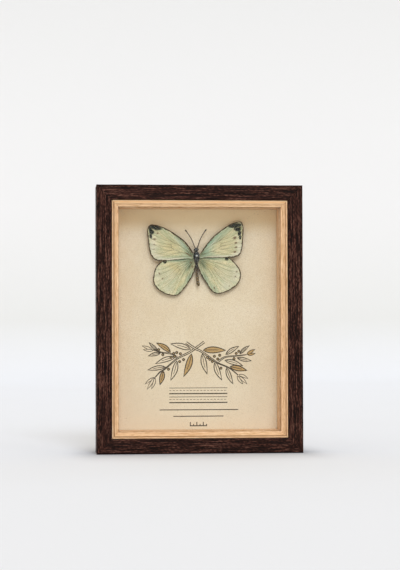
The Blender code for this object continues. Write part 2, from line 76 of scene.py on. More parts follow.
# %% [markdown]
# ## Sizes
#
# These are the same measures as the solid model's. Depths are counted backwards from the front of
# the frame, which lies half the frame's depth in front of the middle, so one small function turns
# a depth into a Y coordinate.

# %% Measures of the frame
FRAME_WIDTH = 178 * MM
FRAME_HEIGHT = 231 * MM
FRAME_DEPTH = 38 * MM
RAIL_WIDTH = 13 * MM
SLIP_WIDTH = 5.6 * MM
SLIP_FRONT = 1.3 * MM
SLIP_SIGHT_DEPTH = 4.3 * MM
SLIP_BACK = 7.5 * MM
SLIP_GAP = 0.1 * MM
CARD_DEPTH = 28.1 * MM
CARD_THICKNESS = 0.5 * MM
CARD_INSET = 13.3 * MM
SIDE_TURNS = {"bottom": 0, "left": 90, "top": 180, "right": 270}


def depth_to_y(depth):
    return depth - FRAME_DEPTH / 2


# %% [markdown]
# ## Small tools
#
# Materials and Geometry Nodes are both node trees, so one function adds a node to either: its
# inputs take plain values or the outputs of other nodes. The others stand a finished mesh in the
# scene, hide the solid parts it stands for, note numbers on its points and keep its sharp edges
# crisp.


# %% Tools for nodes and pieces
def fill(tree, node, inputs):
    """Gives each named input of a node its value, a socket or the first output of a node."""
    for name, value in inputs.items():
        if isinstance(value, bpy.types.Node):
            value = value.outputs[0]
        if isinstance(value, bpy.types.NodeSocket):
            tree.links.new(value, node.inputs[name])
        else:
            node.inputs[name].default_value = value


def add(tree, kind, inputs=None, **settings):
    """A new node with these settings and inputs."""
    node = tree.nodes.new(kind)
    for name, value in settings.items():
        setattr(node, name, value)
    fill(tree, node, inputs or {})
    return node


def place(name, mesh):
    piece = bpy.data.objects.new(name, mesh)
    bpy.context.scene.collection.objects.link(piece)
    return piece


def finish(piece, slot, *nodes):
    """Lets a piece ride with the frame, in the place of these solid parts."""
    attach(piece, "root")
    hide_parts(*nodes)
    piece.data.calc_loop_triangles()
    size = ", ".join(f"{side / MM:.1f}" for side in piece.dimensions)
    print(f"{piece.name}: {len(piece.data.loop_triangles)} triangles, {size} mm")
    return piece


def store(mesh, name, values):
    """Gives every point of a mesh a number, which its material can read."""
    mesh.attributes.new(name, "FLOAT", "POINT").data.foreach_set("value", values)


def sharpen(mesh, degrees=35):
    """Smooth shading, but with every edge that turns more than this left crisp."""
    mesh.shade_smooth()
    mesh.set_sharp_from_angle(angle=math.radians(degrees))


# %% [markdown]
# ## Tools for materials
#
# Nearly every finish here is a few layers of noise, each stretched to the size that the real
# feature has: a pore is 0.6 mm wide and 7 mm long, a stain on the paper 40 mm. So noise takes its
# sizes in millimetres. It reads Object coordinates, which are metres. Colours are written as the
# red, green and blue of a paint chart, 0 to 255, and turned into light values.
#
# Most finishes then lay one thin colour after another over a ground, each where a noise is high.
# A painter would call that a glaze, and so does the tool for it.


# %% Tools for materials
def paint(red, green, blue):
    channels = [value / 255 for value in (red, green, blue)]
    linear = [c / 12.92 if c < 0.04 else ((c + 0.055) / 1.055) ** 2.4 for c in channels]
    return (*linear, 1.0)


def new_material(name):
    """An empty material; returns it with its tree and its Principled shader."""
    material = bpy.data.materials.new(name)
    material.use_nodes = True
    tree = material.node_tree
    tree.nodes.clear()
    shader = add(tree, "ShaderNodeBsdfPrincipled")
    add(tree, "ShaderNodeOutputMaterial", {"Surface": shader})
    return material, tree, shader


def object_place(tree):
    """Where a point lies on the piece, in metres."""
    return add(tree, "ShaderNodeTexCoord").outputs["Object"]


def attribute(tree, name):
    """A number that store gave to the points of the mesh."""
    return add(tree, "ShaderNodeAttribute", attribute_name=name).outputs["Fac"]


def noise(tree, size, detail=3.0, shift=0.0, source=None, unit=MM):
    """Noise whose features have this size along X, Y and Z, counted in this unit."""
    if source is None:
        source = object_place(tree)
    scale = [1 / (length * unit) for length in size]
    inputs = {"Vector": source, "Scale": scale, "Location": (shift, shift, shift)}
    stretched = add(tree, "ShaderNodeMapping", inputs)
    return add(tree, "ShaderNodeTexNoise", {"Vector": stretched, "Scale": 1.0, "Detail": detail})


def spread(tree, value, low, high, start=0.0, end=1.0):
    """Maps low to start and high to end, and clamps."""
    inputs = {"Value": value, "From Min": low, "From Max": high, "To Min": start, "To Max": end}
    return add(tree, "ShaderNodeMapRange", inputs)


def sum_of(tree, first, second, operation="ADD"):
    return add(tree, "ShaderNodeMath", {0: first, 1: second}, operation=operation)


def scaled(tree, value, factor):
    return sum_of(tree, value, factor, "MULTIPLY")


def blend(tree, share, first, second):
    inputs = {0: share, 6: first, 7: second}
    return add(tree, "ShaderNodeMix", inputs, data_type="RGBA").outputs[2]


def glaze(tree, tone, value, low, high, strength, *colour):
    """Lays a colour over the tone: none of it at low, and this strength of it at high."""
    return blend(tree, spread(tree, value, low, high, 0.0, strength), tone, paint(*colour))


def ramp(tree, value, stops):
    """A colour ramp; each stop is its place, red, green and blue."""
    node = add(tree, "ShaderNodeValToRGB", {"Fac": value})
    elements = node.color_ramp.elements
    while len(elements) < len(stops):
        elements.new(1.0)
    for element, (position, *colour) in zip(elements, stops):
        element.position = position
        element.color = paint(*colour)
    return node.outputs["Color"]


def coat(tree, shader, **sockets):
    """Fills the shader's sockets, such as Base_Color or Roughness."""
    fill(tree, shader, {name.replace("_", " "): value for name, value in sockets.items()})


def bump(tree, shader, height, distance):
    raised = add(tree, "ShaderNodeBump", {"Height": height, "Distance": distance})
    coat(tree, shader, Normal=raised)


# %% [markdown]
# ## Camera, floor and light
#
# The picture is taken with a long lens, a little from the left of the frame and nearly level. The
# floor runs back and curves up into a wall behind the frame, so no horizon shows. One soft lamp
# stands in front and above: it is what draws the shadow of the top rail on the card. A pale sky
# all round stands for the white walls of the studio.

# %% Camera
camera_data = bpy.data.cameras.new("camera")
camera_data.lens = 106.5
camera_data.sensor_width = 36
camera = bpy.data.objects.new("camera", camera_data)
bpy.context.scene.collection.objects.link(camera)
camera.location = (-0.1262, -1.4608, 0.1096)
turns = ((-4.99, "Z"), (1.39, "X"), (0.13, "Y"), (90, "X"))
aim = Matrix.Identity(3)
for degrees, axis in turns:
    aim = aim @ Matrix.Rotation(math.radians(degrees), 3, axis)
camera.rotation_euler = aim.to_euler()
bpy.context.scene.camera = camera
bpy.context.scene.view_settings.view_transform = "Standard"
print("camera:", [round(value, 3) for value in camera.location], camera_data.lens, "mm lens")

# %% Floor that curves up into a wall
FLOOR_FRONT = -4.0
FLOOR_BACK = 1.8
CURVE_RADIUS = 1.0
WALL_TOP = 4.0
HALF_FLOOR = 4.0
bow = [math.radians(90 * step / 16) for step in range(17)]
floor_line = [(y, 0.0) for y in (FLOOR_FRONT, -1.0, 0.5)]
floor_line += [
    (FLOOR_BACK + CURVE_RADIUS * math.sin(a), CURVE_RADIUS * (1 - math.cos(a))) for a in bow
]
floor_line.append((FLOOR_BACK + CURVE_RADIUS, WALL_TOP))
floor_points = [(x, y, z) for x in (-HALF_FLOOR, HALF_FLOOR) for y, z in floor_line]
count = len(floor_line)
floor_faces = [(i, i + count, i + count + 1, i + 1) for i in range(count - 1)]
floor_mesh = bpy.data.meshes.new("floor")
floor_mesh.from_pydata(floor_points, [], floor_faces)
floor_mesh.shade_smooth()
floor = place("floor", floor_mesh)
floor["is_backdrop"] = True

# %% [markdown]
# The floor's paint is a little darker near the frame, like the soft shade where something stands
# on a bright floor. It reaches three times as far in front of the frame as beside it.

# %% Paint of the floor
FLOOR_SHADE = 0.34
FLOOR_SHADE_REACH = 100 * MM
SHADE_SHRINK = (3.0, 1.0, 1.0)
footprint = (FRAME_WIDTH / 2, FRAME_DEPTH / 2, 0.0)
floor_paint, tree, shader = new_material("floor_paint")
place_in = object_place(tree)
height = add(tree, "ShaderNodeSeparateXYZ", {0: place_in}).outputs["Z"]
mottle = noise(tree, (400, 400, 400), detail=1.0)
height = sum_of(tree, height, spread(tree, mottle, 0.3, 0.7, -0.01, 0.01))
floor_tone = ramp(tree, height, [
    (0.0, 231, 235, 243), (0.12, 218, 220, 221), (0.4, 222, 223, 225), (0.9, 222, 223, 224),
])
outside = place_in
for operation, by in (("ABSOLUTE", None), ("SUBTRACT", footprint), ("MAXIMUM", (0.0, 0.0, 0.0)),
                      ("MULTIPLY", SHADE_SHRINK)):
    inputs = {0: outside} if by is None else {0: outside, 1: by}
    outside = add(tree, "ShaderNodeVectorMath", inputs, operation=operation)
from_frame = add(tree, "ShaderNodeVectorMath", {0: outside}, operation="LENGTH").outputs["Value"]
closeness = spread(tree, from_frame, 0.0, FLOOR_SHADE_REACH, 1.0, 0.0)
shade = scaled(tree, sum_of(tree, closeness, 2.0, "POWER"), FLOOR_SHADE)
coat(tree, shader, Base_Color=blend(tree, shade, floor_tone, paint(66, 58, 56)), Roughness=0.9,
     Specular_IOR_Level=0.1)
floor_mesh.materials.append(floor_paint)

# %% Lamp and sky
LAMP_STRENGTH = 1.43
LAMP_COLOUR = (0.93, 0.99, 1.11)
SKY_COLOUR = (1.045, 0.965, 0.824, 1.0)
SKY_STRENGTH = 0.79
LAMP_SPREAD = 26
LAMP_HEIGHT = 37
LAMP_SIDE = 4
lamp_data = bpy.data.lights.new("lamp", "SUN")
lamp_data.energy = LAMP_STRENGTH
lamp_data.color = LAMP_COLOUR
lamp_data.angle = math.radians(LAMP_SPREAD)
lamp = bpy.data.objects.new("lamp", lamp_data)
bpy.context.scene.collection.objects.link(lamp)
lamp_side_turn = Matrix.Rotation(math.radians(LAMP_SIDE), 3, "Z")
lamp_tilt = Matrix.Rotation(math.radians(90 - LAMP_HEIGHT), 3, "X")
lamp.rotation_euler = (lamp_side_turn @ lamp_tilt).to_euler()

sky = bpy.data.worlds.new("sky")
bpy.context.scene.world = sky
sky.use_nodes = True
sky_tree = sky.node_tree
sky_tree.nodes.clear()
background = add(sky_tree, "ShaderNodeBackground", {"Color": SKY_COLOUR, "Strength": SKY_STRENGTH})
add(sky_tree, "ShaderNodeOutputWorld", {"Surface": background})
print("lamp", LAMP_HEIGHT, "degrees up, spread", LAMP_SPREAD, "degrees")

# %% [markdown]
# ## Wood
#
# The rails are an open-grained wood stained nearly black: long dark pores, and brown and reddish
# streaks and flecks between them. The slip is bare pale wood with fine straight grain. Both are
# the same recipe with other sizes and colours, so one function makes them: streaks and shorter
# flecks, a broad figure, then pores, all longer along the grain than across it. Each rail needs
# its own grain direction, because at a mitre the grain of two rails meets at a right angle.
#
# Two more paints go where the mesh asks for them, on the slips only: painted shade in a groove,
# on a bead and over a whole side, and painted light, a paler tone for light falling on the top slip
# and, faintly, on the bottom one.


# %% Wood materials
STREAK_SHARE, FLECK_SHARE = 0.58, 0.42
# Painted shade and painted light for the slips: a dark brown for shade in grooves, on beads and
# over whole sides, and a pale tone for light falling on them.
SLIP_SHADE_PAINT = paint(142, 106, 74)
SLIP_LIGHT_PAINT = paint(255, 224, 180)


def grain(axis, along, across):
    """The size of a feature along X, Y and Z, when the grain runs along this axis."""
    return tuple(along if letter == axis else across for letter in "XYZ")


def wood(name, axis, tones, flush, pore, streak, fleck, figure, pores, pore_cut, sway, shine,
         gloss, relief):
    """Wood; streak, fleck, figure and pores are millimetres along the grain and across it."""
    material, tree, shader = new_material(name)
    wander = noise(tree, grain(axis, 70, 9), detail=1.0, shift=3.0)
    place_in = object_place(tree)
    sideways = {0: wander.outputs["Color"], "Scale": sway}
    amount = add(tree, "ShaderNodeVectorMath", sideways, operation="SCALE")
    bent = add(tree, "ShaderNodeVectorMath", {0: place_in, 1: amount}, operation="ADD")
    streaks = noise(tree, grain(axis, *streak), detail=4.0, source=bent)
    broad = noise(tree, grain(axis, *figure), detail=2.0, shift=7.0, source=bent)
    holes = noise(tree, grain(axis, *pores), detail=2.0, shift=11.0, source=bent)
    flecks = noise(tree, grain(axis, *fleck), detail=2.0, shift=19.0)
    mixed = sum_of(tree, scaled(tree, streaks, STREAK_SHARE), scaled(tree, flecks, FLECK_SHARE))
    tone = ramp(tree, spread(tree, mixed, 0.34, 0.66, 0.26, 0.74), tones)
    tone = blend(tree, spread(tree, broad, 0.48, 0.7, 0.0, 0.4), tone, flush)
    pore_mask = spread(tree, holes, pore_cut, pore_cut + 0.08, 0.0, 0.85)
    colour = blend(tree, pore_mask, tone, pore)
    # Painted shade on the slips, where their points ask for it, then painted light.
    colour = blend(tree, attribute(tree, "groove"), colour, SLIP_SHADE_PAINT)
    colour = blend(tree, attribute(tree, "board"), colour, SLIP_LIGHT_PAINT)
    coat(tree, shader, Base_Color=colour, Roughness=spread(tree, streaks, 0.3, 0.7, *shine),
         Specular_IOR_Level=gloss)
    height = sum_of(tree, spread(tree, streaks, 0.3, 0.7), pore_mask, "SUBTRACT")
    bump(tree, shader, height, relief)
    return material


DARK_TONES = [
    (0.36, 14, 6, 4),
    (0.46, 36, 17, 12),
    (0.53, 56, 31, 23),
    (0.60, 83, 50, 42),
    (0.68, 106, 74, 62),
]
PALE_TONES = [
    (0.32, 194, 150, 104),
    (0.44, 220, 180, 136),
    (0.56, 232, 194, 152),
    (0.70, 244, 212, 172),
]
dark_wood = {}
pale_wood = {}
for axis in "XZ":
    dark_wood[axis] = wood(
        f"dark_wood_{axis}", axis, DARK_TONES, paint(54, 28, 23), paint(20, 9, 7),
        streak=(13, 0.64), fleck=(2.6, 0.66),
        figure=(90, 2.2), pores=(50, 0.7),
        pore_cut=0.52, sway=0.15 * MM, shine=(0.45, 0.65), gloss=0.08, relief=0.12 * MM,
    )
    pale_wood[axis] = wood(
        f"pale_wood_{axis}", axis, PALE_TONES, paint(214, 166, 120), paint(176, 124, 80),
        streak=(14, 0.6), fleck=(5, 0.8),
        figure=(40, 2.4), pores=(7, 0.6),
        pore_cut=0.61, sway=0.6 * MM, shine=(0.45, 0.6), gloss=0.3, relief=0.04 * MM,
    )
print("wood:", [material.name for material in (*dark_wood.values(), *pale_wood.values())])

# %% [markdown]
# ## Rails and slips
#
# A frame maker runs one long moulding through the machine and saws it at 45 degrees. Geometry
# Nodes can do the same: sweep the moulding's cross-section along a straight line, then pull every
# point back towards the middle by as much as it lies inwards, which cuts both mitres. After that
# the tree presses the open grain into the surface, so the relief also runs along the moulding.
# A cross-section has x inwards from the frame's outside and y backwards from its front. Curve to
# Mesh turns it round, so its points are handed over as (-y, -x).


# %% A rule that makes mitred mouldings
def new_rule(name, *measures, counts=()):
    """A Geometry Nodes tree that takes a geometry, a material, these measures and counts."""
    rule = bpy.data.node_groups.new(name, "GeometryNodeTree")
    sockets = {"Geometry": "Geometry", "Material": "Material"}
    sockets.update(dict.fromkeys(measures, "Float"))
    sockets.update(dict.fromkeys(counts, "Int"))
    for label, kind in sockets.items():
        rule.interface.new_socket(label, in_out="INPUT", socket_type=f"NodeSocket{kind}")
    rule.interface.new_socket("Geometry", in_out="OUTPUT", socket_type="NodeSocketGeometry")
    return rule, rule.nodes.new("NodeGroupInput").outputs


def end_rule(rule, geometry, material):
    """The end of every tree: real meshes instead of instances, and their material."""
    real = add(rule, "GeometryNodeRealizeInstances", {0: geometry})
    painted = add(rule, "GeometryNodeSetMaterial", {"Geometry": real, "Material": material})
    add(rule, "NodeGroupOutput", {0: painted})
    print(rule.name, "has", len(rule.nodes), "nodes")
    return rule


def joined(rule, x=0.0, y=0.0, z=0.0):
    """A place or a size from its three numbers."""
    return add(rule, "ShaderNodeCombineXYZ", {"X": x, "Y": y, "Z": z})


def coordinates(rule):
    """X, Y and Z of each point of the geometry."""
    position = add(rule, "GeometryNodeInputPosition")
    return add(rule, "ShaderNodeSeparateXYZ", {0: position}).outputs


def grow(name, rule, source, **inputs):
    """Runs a tree on the source object and keeps the result as a plain mesh."""
    modifier = source.modifiers.new("rule", "NODES")
    modifier.node_group = rule
    sockets = {item.name: item.identifier for item in rule.interface.items_tree
               if item.in_out == "INPUT"}
    for label, value in inputs.items():
        modifier[sockets[label.replace("_", " ")]] = value
    evaluated = source.evaluated_get(bpy.context.evaluated_depsgraph_get())
    mesh = bpy.data.meshes.new_from_object(evaluated)
    mesh.name = name
    source.modifiers.remove(modifier)
    bpy.data.objects.remove(source)
    return place(name, mesh)


def make_moulding_rule():
    rule, given = new_rule("mitred_moulding", "Length", "Step", "Mitre Gap", "Grain Length",
                           "Grain Width", "Relief", "Seed")
    half_length = scaled(rule, given["Length"], 0.5)
    line = add(rule, "GeometryNodeCurvePrimitiveLine", {
        "Start": joined(rule, scaled(rule, half_length, -1)), "End": joined(rule, half_length),
    })
    steps = {"Curve": line, "Length": given["Step"]}
    line = add(rule, "GeometryNodeResampleCurve", steps, mode="LENGTH")
    swept = add(rule, "GeometryNodeCurveToMesh",
                {"Curve": line, "Profile Curve": given["Geometry"], "Fill Caps": True})

    # The mitre: x shrinks by (2 * inwards + gap) / length.
    x, y, z = coordinates(rule)
    pulled = sum_of(rule, scaled(rule, z, 2), given["Mitre Gap"])
    lost = sum_of(rule, pulled, given["Length"], "DIVIDE")
    new_x = scaled(rule, x, sum_of(rule, 1.0, lost, "SUBTRACT"))
    mitred = add(rule, "GeometryNodeSetPosition",
                 {"Geometry": swept, "Position": joined(rule, new_x, y, z)})

    # The relief: noise stretched along the moulding, pressed in along the normal.
    x, y, z = coordinates(rule)
    grain_place = joined(rule, sum_of(rule, x, given["Grain Length"], "DIVIDE"),
                         sum_of(rule, y, given["Grain Width"], "DIVIDE"),
                         sum_of(rule, z, given["Grain Width"], "DIVIDE"))
    noise_inputs = {"Vector": grain_place, "W": given["Seed"], "Scale": 1.0, "Detail": 2.0}
    grain_noise = add(rule, "ShaderNodeTexNoise", noise_inputs, noise_dimensions="4D")
    pressed = spread(rule, grain_noise, 0.45, 0.72)
    depth = scaled(rule, scaled(rule, pressed, given["Relief"]), -1)
    normal = add(rule, "GeometryNodeInputNormal")
    offset = add(rule, "ShaderNodeVectorMath", {0: normal, "Scale": depth}, operation="SCALE")
    grained = add(rule, "GeometryNodeSetPosition", {"Geometry": mitred, "Offset": offset})
    return end_rule(rule, grained, given["Material"])


moulding_rule = make_moulding_rule()


# %% Cross-sections of the rail and the slip
def arc(centre, radius, start, end, steps):
    angles = [math.radians(start + (end - start) * step / steps) for step in range(steps + 1)]
    return [(centre[0] + radius * math.cos(a), centre[1] + radius * math.sin(a)) for a in angles]


def subdivided(outline, step):
    """The same closed outline, with extra points wherever two lie further apart than step."""
    points = []
    for (x0, y0), (x1, y1) in zip(outline, outline[1:] + outline[:1]):
        pieces_between = max(1, math.ceil(math.hypot(x1 - x0, y1 - y0) / step))
        for index in range(pieces_between):
            share = index / pieces_between
            points.append((x0 + (x1 - x0) * share, y0 + (y1 - y0) * share))
    return points


def rail_section():
    outer, inner, back = 1.8 * MM, 0.8 * MM, 0.6 * MM
    width, depth = RAIL_WIDTH, FRAME_DEPTH
    return (
        arc((outer, outer), outer, 180, 270, 8)
        + arc((width - inner, inner), inner, 270, 360, 5)
        + arc((width - back, depth - back), back, 0, 90, 4)
        + arc((back, depth - back), back, 90, 180, 4)
    )


def slip_section():
    """A bead, a groove, then a band that slopes back to a thin lip at the sight edge."""
    bead, groove_width, groove_depth, lip, step = 0.6 * MM, 0.8 * MM, 0.8 * MM, 1.0 * MM, 0.25 * MM
    soft = 0.15 * MM
    start = RAIL_WIDTH + SLIP_GAP
    end = RAIL_WIDTH + SLIP_WIDTH
    groove_start = RAIL_WIDTH + 0.3 * MM + 2 * bead
    groove_end = groove_start + groove_width
    floor_depth = SLIP_FRONT + bead + groove_depth
    band = SLIP_FRONT + 0.5 * bead
    lip_depth = SLIP_SIGHT_DEPTH - step
    radius = (groove_start - start) / 2
    return (
        [(start, SLIP_BACK)]
        + arc((start + radius, SLIP_FRONT + radius), radius, 180, 360, 12)
        + [(groove_start, floor_depth - soft), (groove_start + soft, floor_depth),
           (groove_end - soft, floor_depth), (groove_end, floor_depth - soft),
           (groove_end, band + soft), (groove_end + soft, band),
           (end - lip - soft, lip_depth - step), (end - lip, lip_depth - step + soft),
           (end - lip, lip_depth)]
        + arc((end - soft, SLIP_SIGHT_DEPTH + soft), soft, 270, 360, 3)
        + [(end, SLIP_BACK)]
    )


def section_curve(name, outline):
    curve = bpy.data.curves.new(name, "CURVE")
    curve.dimensions = "3D"
    spline = curve.splines.new("POLY")
    spline.points.add(len(outline) - 1)
    for point, (inward, depth) in zip(spline.points, reversed(outline)):
        point.co = (-depth, -inward, 0, 1)
    spline.use_cyclic_u = True
    return place(name, curve)


def outwards(mesh):
    """Welds doubles and turns every face outwards."""
    body = bmesh.new()
    body.from_mesh(mesh)
    bmesh.ops.remove_doubles(body, verts=body.verts, dist=1e-6)
    bmesh.ops.recalc_face_normals(body, faces=body.faces)
    body.to_mesh(mesh)
    body.free()


def side_place(side):
    """Where a moulding that was made for the bottom side goes on this side."""
    turn = Matrix.Rotation(math.radians(SIDE_TURNS[side]), 4, "Y")
    reach = FRAME_HEIGHT / 2 if side in ("top", "bottom") else FRAME_WIDTH / 2
    to_middle = Matrix.Translation((0, -FRAME_DEPTH / 2, FRAME_HEIGHT / 2))
    return to_middle @ turn @ Matrix.Translation((0, 0, -reach))


# How each slip looks: painted shade in its groove, on its bead and all over, and painted light.
SLIP_LOOK = {
    "bottom": (0.6, 0.2, 0.1, 0.05), "left": (0.8, 0.0, 0.02, 0.0),
    "top": (0.0, 0.3, 0.0, 0.3), "right": (0.45, 0.0, 0.0, 0.0),
}
BEAD_MIDDLE, BEAD_REACH = RAIL_WIDTH + 0.75 * MM, 0.9 * MM
GROOVE_MIDDLE, GROOVE_REACH = RAIL_WIDTH + 1.9 * MM, 0.6 * MM
# Painted light on the slips: how far its hump reaches from the groove's middle, how much lies all
# over, and how much more round the groove.
PAINTED_LIGHT_REACH = 1.2 * MM
PAINTED_LIGHT_ALL_OVER, PAINTED_LIGHT_IN_GROOVE = 0.4, 2.6


def hump(value, middle, reach):
    """1 at the middle, and 0 from this reach on."""
    return max(0.0, 1 - ((value - middle) / reach) ** 2)


def mark_slip(mesh, side):
    """Notes for each point its painted shade and painted light, before the slip is turned."""
    groove_shade, bead_shade, overall_shade, painted_light = SLIP_LOOK[side]
    inwards = [vertex.co.z for vertex in mesh.vertices]
    # The first number is painted shade: in the groove, on the bead and over the whole side.
    store(mesh, "groove", [
        max(overall_shade, bead_shade * hump(z, BEAD_MIDDLE, BEAD_REACH),
            groove_shade * hump(z, GROOVE_MIDDLE, GROOVE_REACH)) for z in inwards
    ])
    # The second number is painted light, over the whole slip and most round the groove.
    store(mesh, "board", [
        painted_light * (PAINTED_LIGHT_ALL_OVER + PAINTED_LIGHT_IN_GROOVE * hump(z, GROOVE_MIDDLE, PAINTED_LIGHT_REACH))
        for z in inwards
    ])


rail_outline = subdivided(rail_section(), 0.62 * MM)
slip_outline = subdivided(slip_section(), 0.5 * MM)
print("points: rail section", len(rail_outline), "and slip section", len(slip_outline))

# %% Rails and slips for all four sides
MOULDINGS = (
    # name, outline, woods, slot, step, grain length and width, relief
    ("rail", rail_outline, dark_wood, "dark_wood", 1.1 * MM, 16 * MM, 1.3 * MM, 0.11 * MM),
    ("slip", slip_outline, pale_wood, "pale_wood", 1.5 * MM, 25 * MM, 1.0 * MM, 0.02 * MM),
)
for part, outline, woods, slot, step, grain_length, grain_width, relief in MOULDINGS:
    for seed, side in enumerate(SIDE_TURNS):
        level = side in ("top", "bottom")
        moulding = grow(
            f"{side}_{part}_moulding", moulding_rule, section_curve(part, outline),
            Length=FRAME_WIDTH if level else FRAME_HEIGHT, Step=step, Mitre_Gap=0.1 * MM,
            Grain_Length=grain_length, Grain_Width=grain_width, Relief=relief, Seed=3.7 * seed,
            Material=woods["X" if level else "Z"],
        )
        if part == "slip":
            mark_slip(moulding.data, side)
        moulding.data.transform(side_place(side))
        outwards(moulding.data)
        sharpen(moulding.data)
        finish(moulding, slot, f"{part}_{side}")

# %% [markdown]
# ## Spacers, glass and boards
#
# These are plain sheets and strips in the real frame too, so the solid parts stay as they are and
# only get their finish. The glass has to let the lamp through. A Principled shader with a very
# low Alpha does that without noise: nearly all light passes, and a faint reflection stays.


# %% Glass and boards
def dress(name, material):
    """Gives a solid part that stays in the scene its finish."""
    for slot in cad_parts[name].material_slots:
        slot.material = material
    print(name, "->", material.name)


for side in SIDE_TURNS:
    dress(f"spacer_{side}", pale_wood["X" if side in ("top", "bottom") else "Z"])

clear_glass, tree, shader = new_material("picture_glass")
smears = noise(tree, (60, 60, 25), detail=2.0)
coat(tree, shader, Base_Color=(0.2, 0.22, 0.21, 1.0), Alpha=0.03, Coat_Weight=1.0,
     Coat_Roughness=0.02, Roughness=spread(tree, smears, 0.3, 0.7, 0.015, 0.06))
dress("glass_pane", clear_glass)

hardboard, tree, shader = new_material("pressed_board")
fibres = noise(tree, (5, 5, 0.5), detail=4.0)
cross_fibres = noise(tree, (0.5, 5, 4), detail=4.0, shift=5.0)
matted = sum_of(tree, scaled(tree, fibres, 0.5), scaled(tree, cross_fibres, 0.5))
tone = ramp(tree, matted, [
    (0.36, 112, 78, 50), (0.5, 138, 99, 66), (0.64, 168, 128, 90),
])
stains = noise(tree, (40, 40, 30), detail=2.0, shift=2.0)
blotches = spread(tree, stains, 0.4, 0.7, 0.0, 0.5)
coat(tree, shader, Base_Color=blend(tree, blotches, tone, paint(124, 88, 58)),
     Roughness=spread(tree, matted, 0.3, 0.7, 0.5, 0.75))
bump(tree, shader, matted, 0.15 * MM)
dress("back_board", hardboard)

pinning_foam, tree, shader = new_material("pinning_foam")
cells = noise(tree, (0.8, 0.8, 0.8), detail=2.0)
tone = ramp(tree, cells, [(0.35, 190, 180, 160), (0.65, 216, 208, 190)])
coat(tree, shader, Base_Color=tone, Roughness=0.9)
bump(tree, shader, cells, 0.1 * MM)
dress("pinning_board", pinning_foam)

# %% [markdown]
# ## Steel points, hanger and rivets
#
# Behind, six steel points hold the back board, and a sawtooth hanger is riveted to it. Sheet
# steel is never razor sharp, so a copy of each solid part gets its edges rounded a tenth of a
# millimetre: that is what catches the light. The two rivets are the same dome twice, so a small
# Geometry Nodes tree puts one on each of two points.

# %% Zinc-plated steel
zinc, tree, shader = new_material("zinc_steel")
spangle = noise(tree, (2.5, 2.5, 1.5), detail=3.0)
brushing = noise(tree, (6, 0.3, 0.12), detail=3.0, shift=4.0)
tone = ramp(tree, spangle, [(0.3, 150, 153, 158), (0.7, 184, 187, 191)])
coat(tree, shader, Base_Color=tone, Metallic=1.0,
     Roughness=spread(tree, brushing, 0.3, 0.7, 0.24, 0.44))
bump(tree, shader, brushing, 0.015 * MM)


# %% Rounded copies of the steel parts
def rounded_copy(name, node, radius, material):
    """A copy of a solid part whose crisp edges are rounded by this radius."""
    body = bmesh.new()
    body.from_mesh(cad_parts[node].data)
    bmesh.ops.remove_doubles(body, verts=body.verts, dist=1e-6)
    bmesh.ops.dissolve_limit(body, angle_limit=math.radians(2), verts=body.verts, edges=body.edges)
    crisp = [edge for edge in body.edges
             if edge.is_manifold and edge.calc_face_angle() > math.radians(30)]
    bmesh.ops.bevel(body, geom=crisp, offset=radius, segments=2, profile=0.5, affect="EDGES",
                    clamp_overlap=True)
    bmesh.ops.triangulate(body, faces=body.faces)
    bmesh.ops.recalc_face_normals(body, faces=body.faces)
    mesh = bpy.data.meshes.new(name)
    body.to_mesh(mesh)
    body.free()
    mesh.materials.append(material)
    sharpen(mesh, 40)
    return place(name, mesh)


for where in ("left_lower", "left_upper", "right_lower", "right_upper", "top", "bottom"):
    point = rounded_copy(f"steel_point_{where}", f"retaining_point_{where}", 0.1 * MM, zinc)
    finish(point, "zinc_steel", f"retaining_point_{where}")
hanger = rounded_copy("hanger_strip", "sawtooth_hanger", 0.12 * MM, zinc)
finish(hanger, "zinc_steel", "sawtooth_hanger")


# %% Rivets on two points
def make_rivet_rule():
    """A flattened ball as the head, and a shank behind it, on each given point."""
    rule, given = new_rule("rivets", "Head Radius", "Head Height", "Shank Radius", "Shank Length")
    dome = add(rule, "GeometryNodeMeshUVSphere", {"Segments": 32, "Rings": 12, "Radius": 1.0})
    dome_size = joined(rule, given["Head Radius"], given["Head Height"], given["Head Radius"])
    dome = add(rule, "GeometryNodeTransform", {"Geometry": dome, "Scale": dome_size})
    shank = add(rule, "GeometryNodeMeshCylinder", {
        "Vertices": 24, "Radius": given["Shank Radius"], "Depth": given["Shank Length"],
    })
    shank_middle = joined(rule, y=scaled(rule, given["Shank Length"], -0.5))
    shank = add(rule, "GeometryNodeTransform", {
        "Geometry": shank, "Translation": shank_middle, "Rotation": (math.radians(90), 0, 0),
    })
    rivet = add(rule, "GeometryNodeJoinGeometry", {0: dome})
    rule.links.new(shank.outputs[0], rivet.inputs[0])
    on_points = add(rule, "GeometryNodeInstanceOnPoints",
                    {"Points": given["Geometry"], "Instance": rivet})
    smooth = add(rule, "GeometryNodeSetShadeSmooth", {0: on_points})
    return end_rule(rule, smooth, given["Material"])


rivet_rule = make_rivet_rule()
RIVET_HEAD_FOOT = 0.7 * MM
for side in ("left", "right"):
    low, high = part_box(f"hanger_rivet_{side}")
    foot = ((low.x + high.x) / 2, high.y - RIVET_HEAD_FOOT, (low.z + high.z) / 2)
    mesh = bpy.data.meshes.new("rivet place")
    mesh.from_pydata([foot], [], [])
    rivet_piece = grow(
        f"domed_rivet_{side}", rivet_rule, place("rivet place", mesh), Head_Radius=2.0 * MM,
        Head_Height=0.68 * MM, Shank_Radius=0.9 * MM, Shank_Length=1.9 * MM, Material=zinc,
    )
    outwards(rivet_piece.data)
    sharpen(rivet_piece.data, 40)
    finish(rivet_piece, "zinc_steel", f"hanger_rivet_{side}")
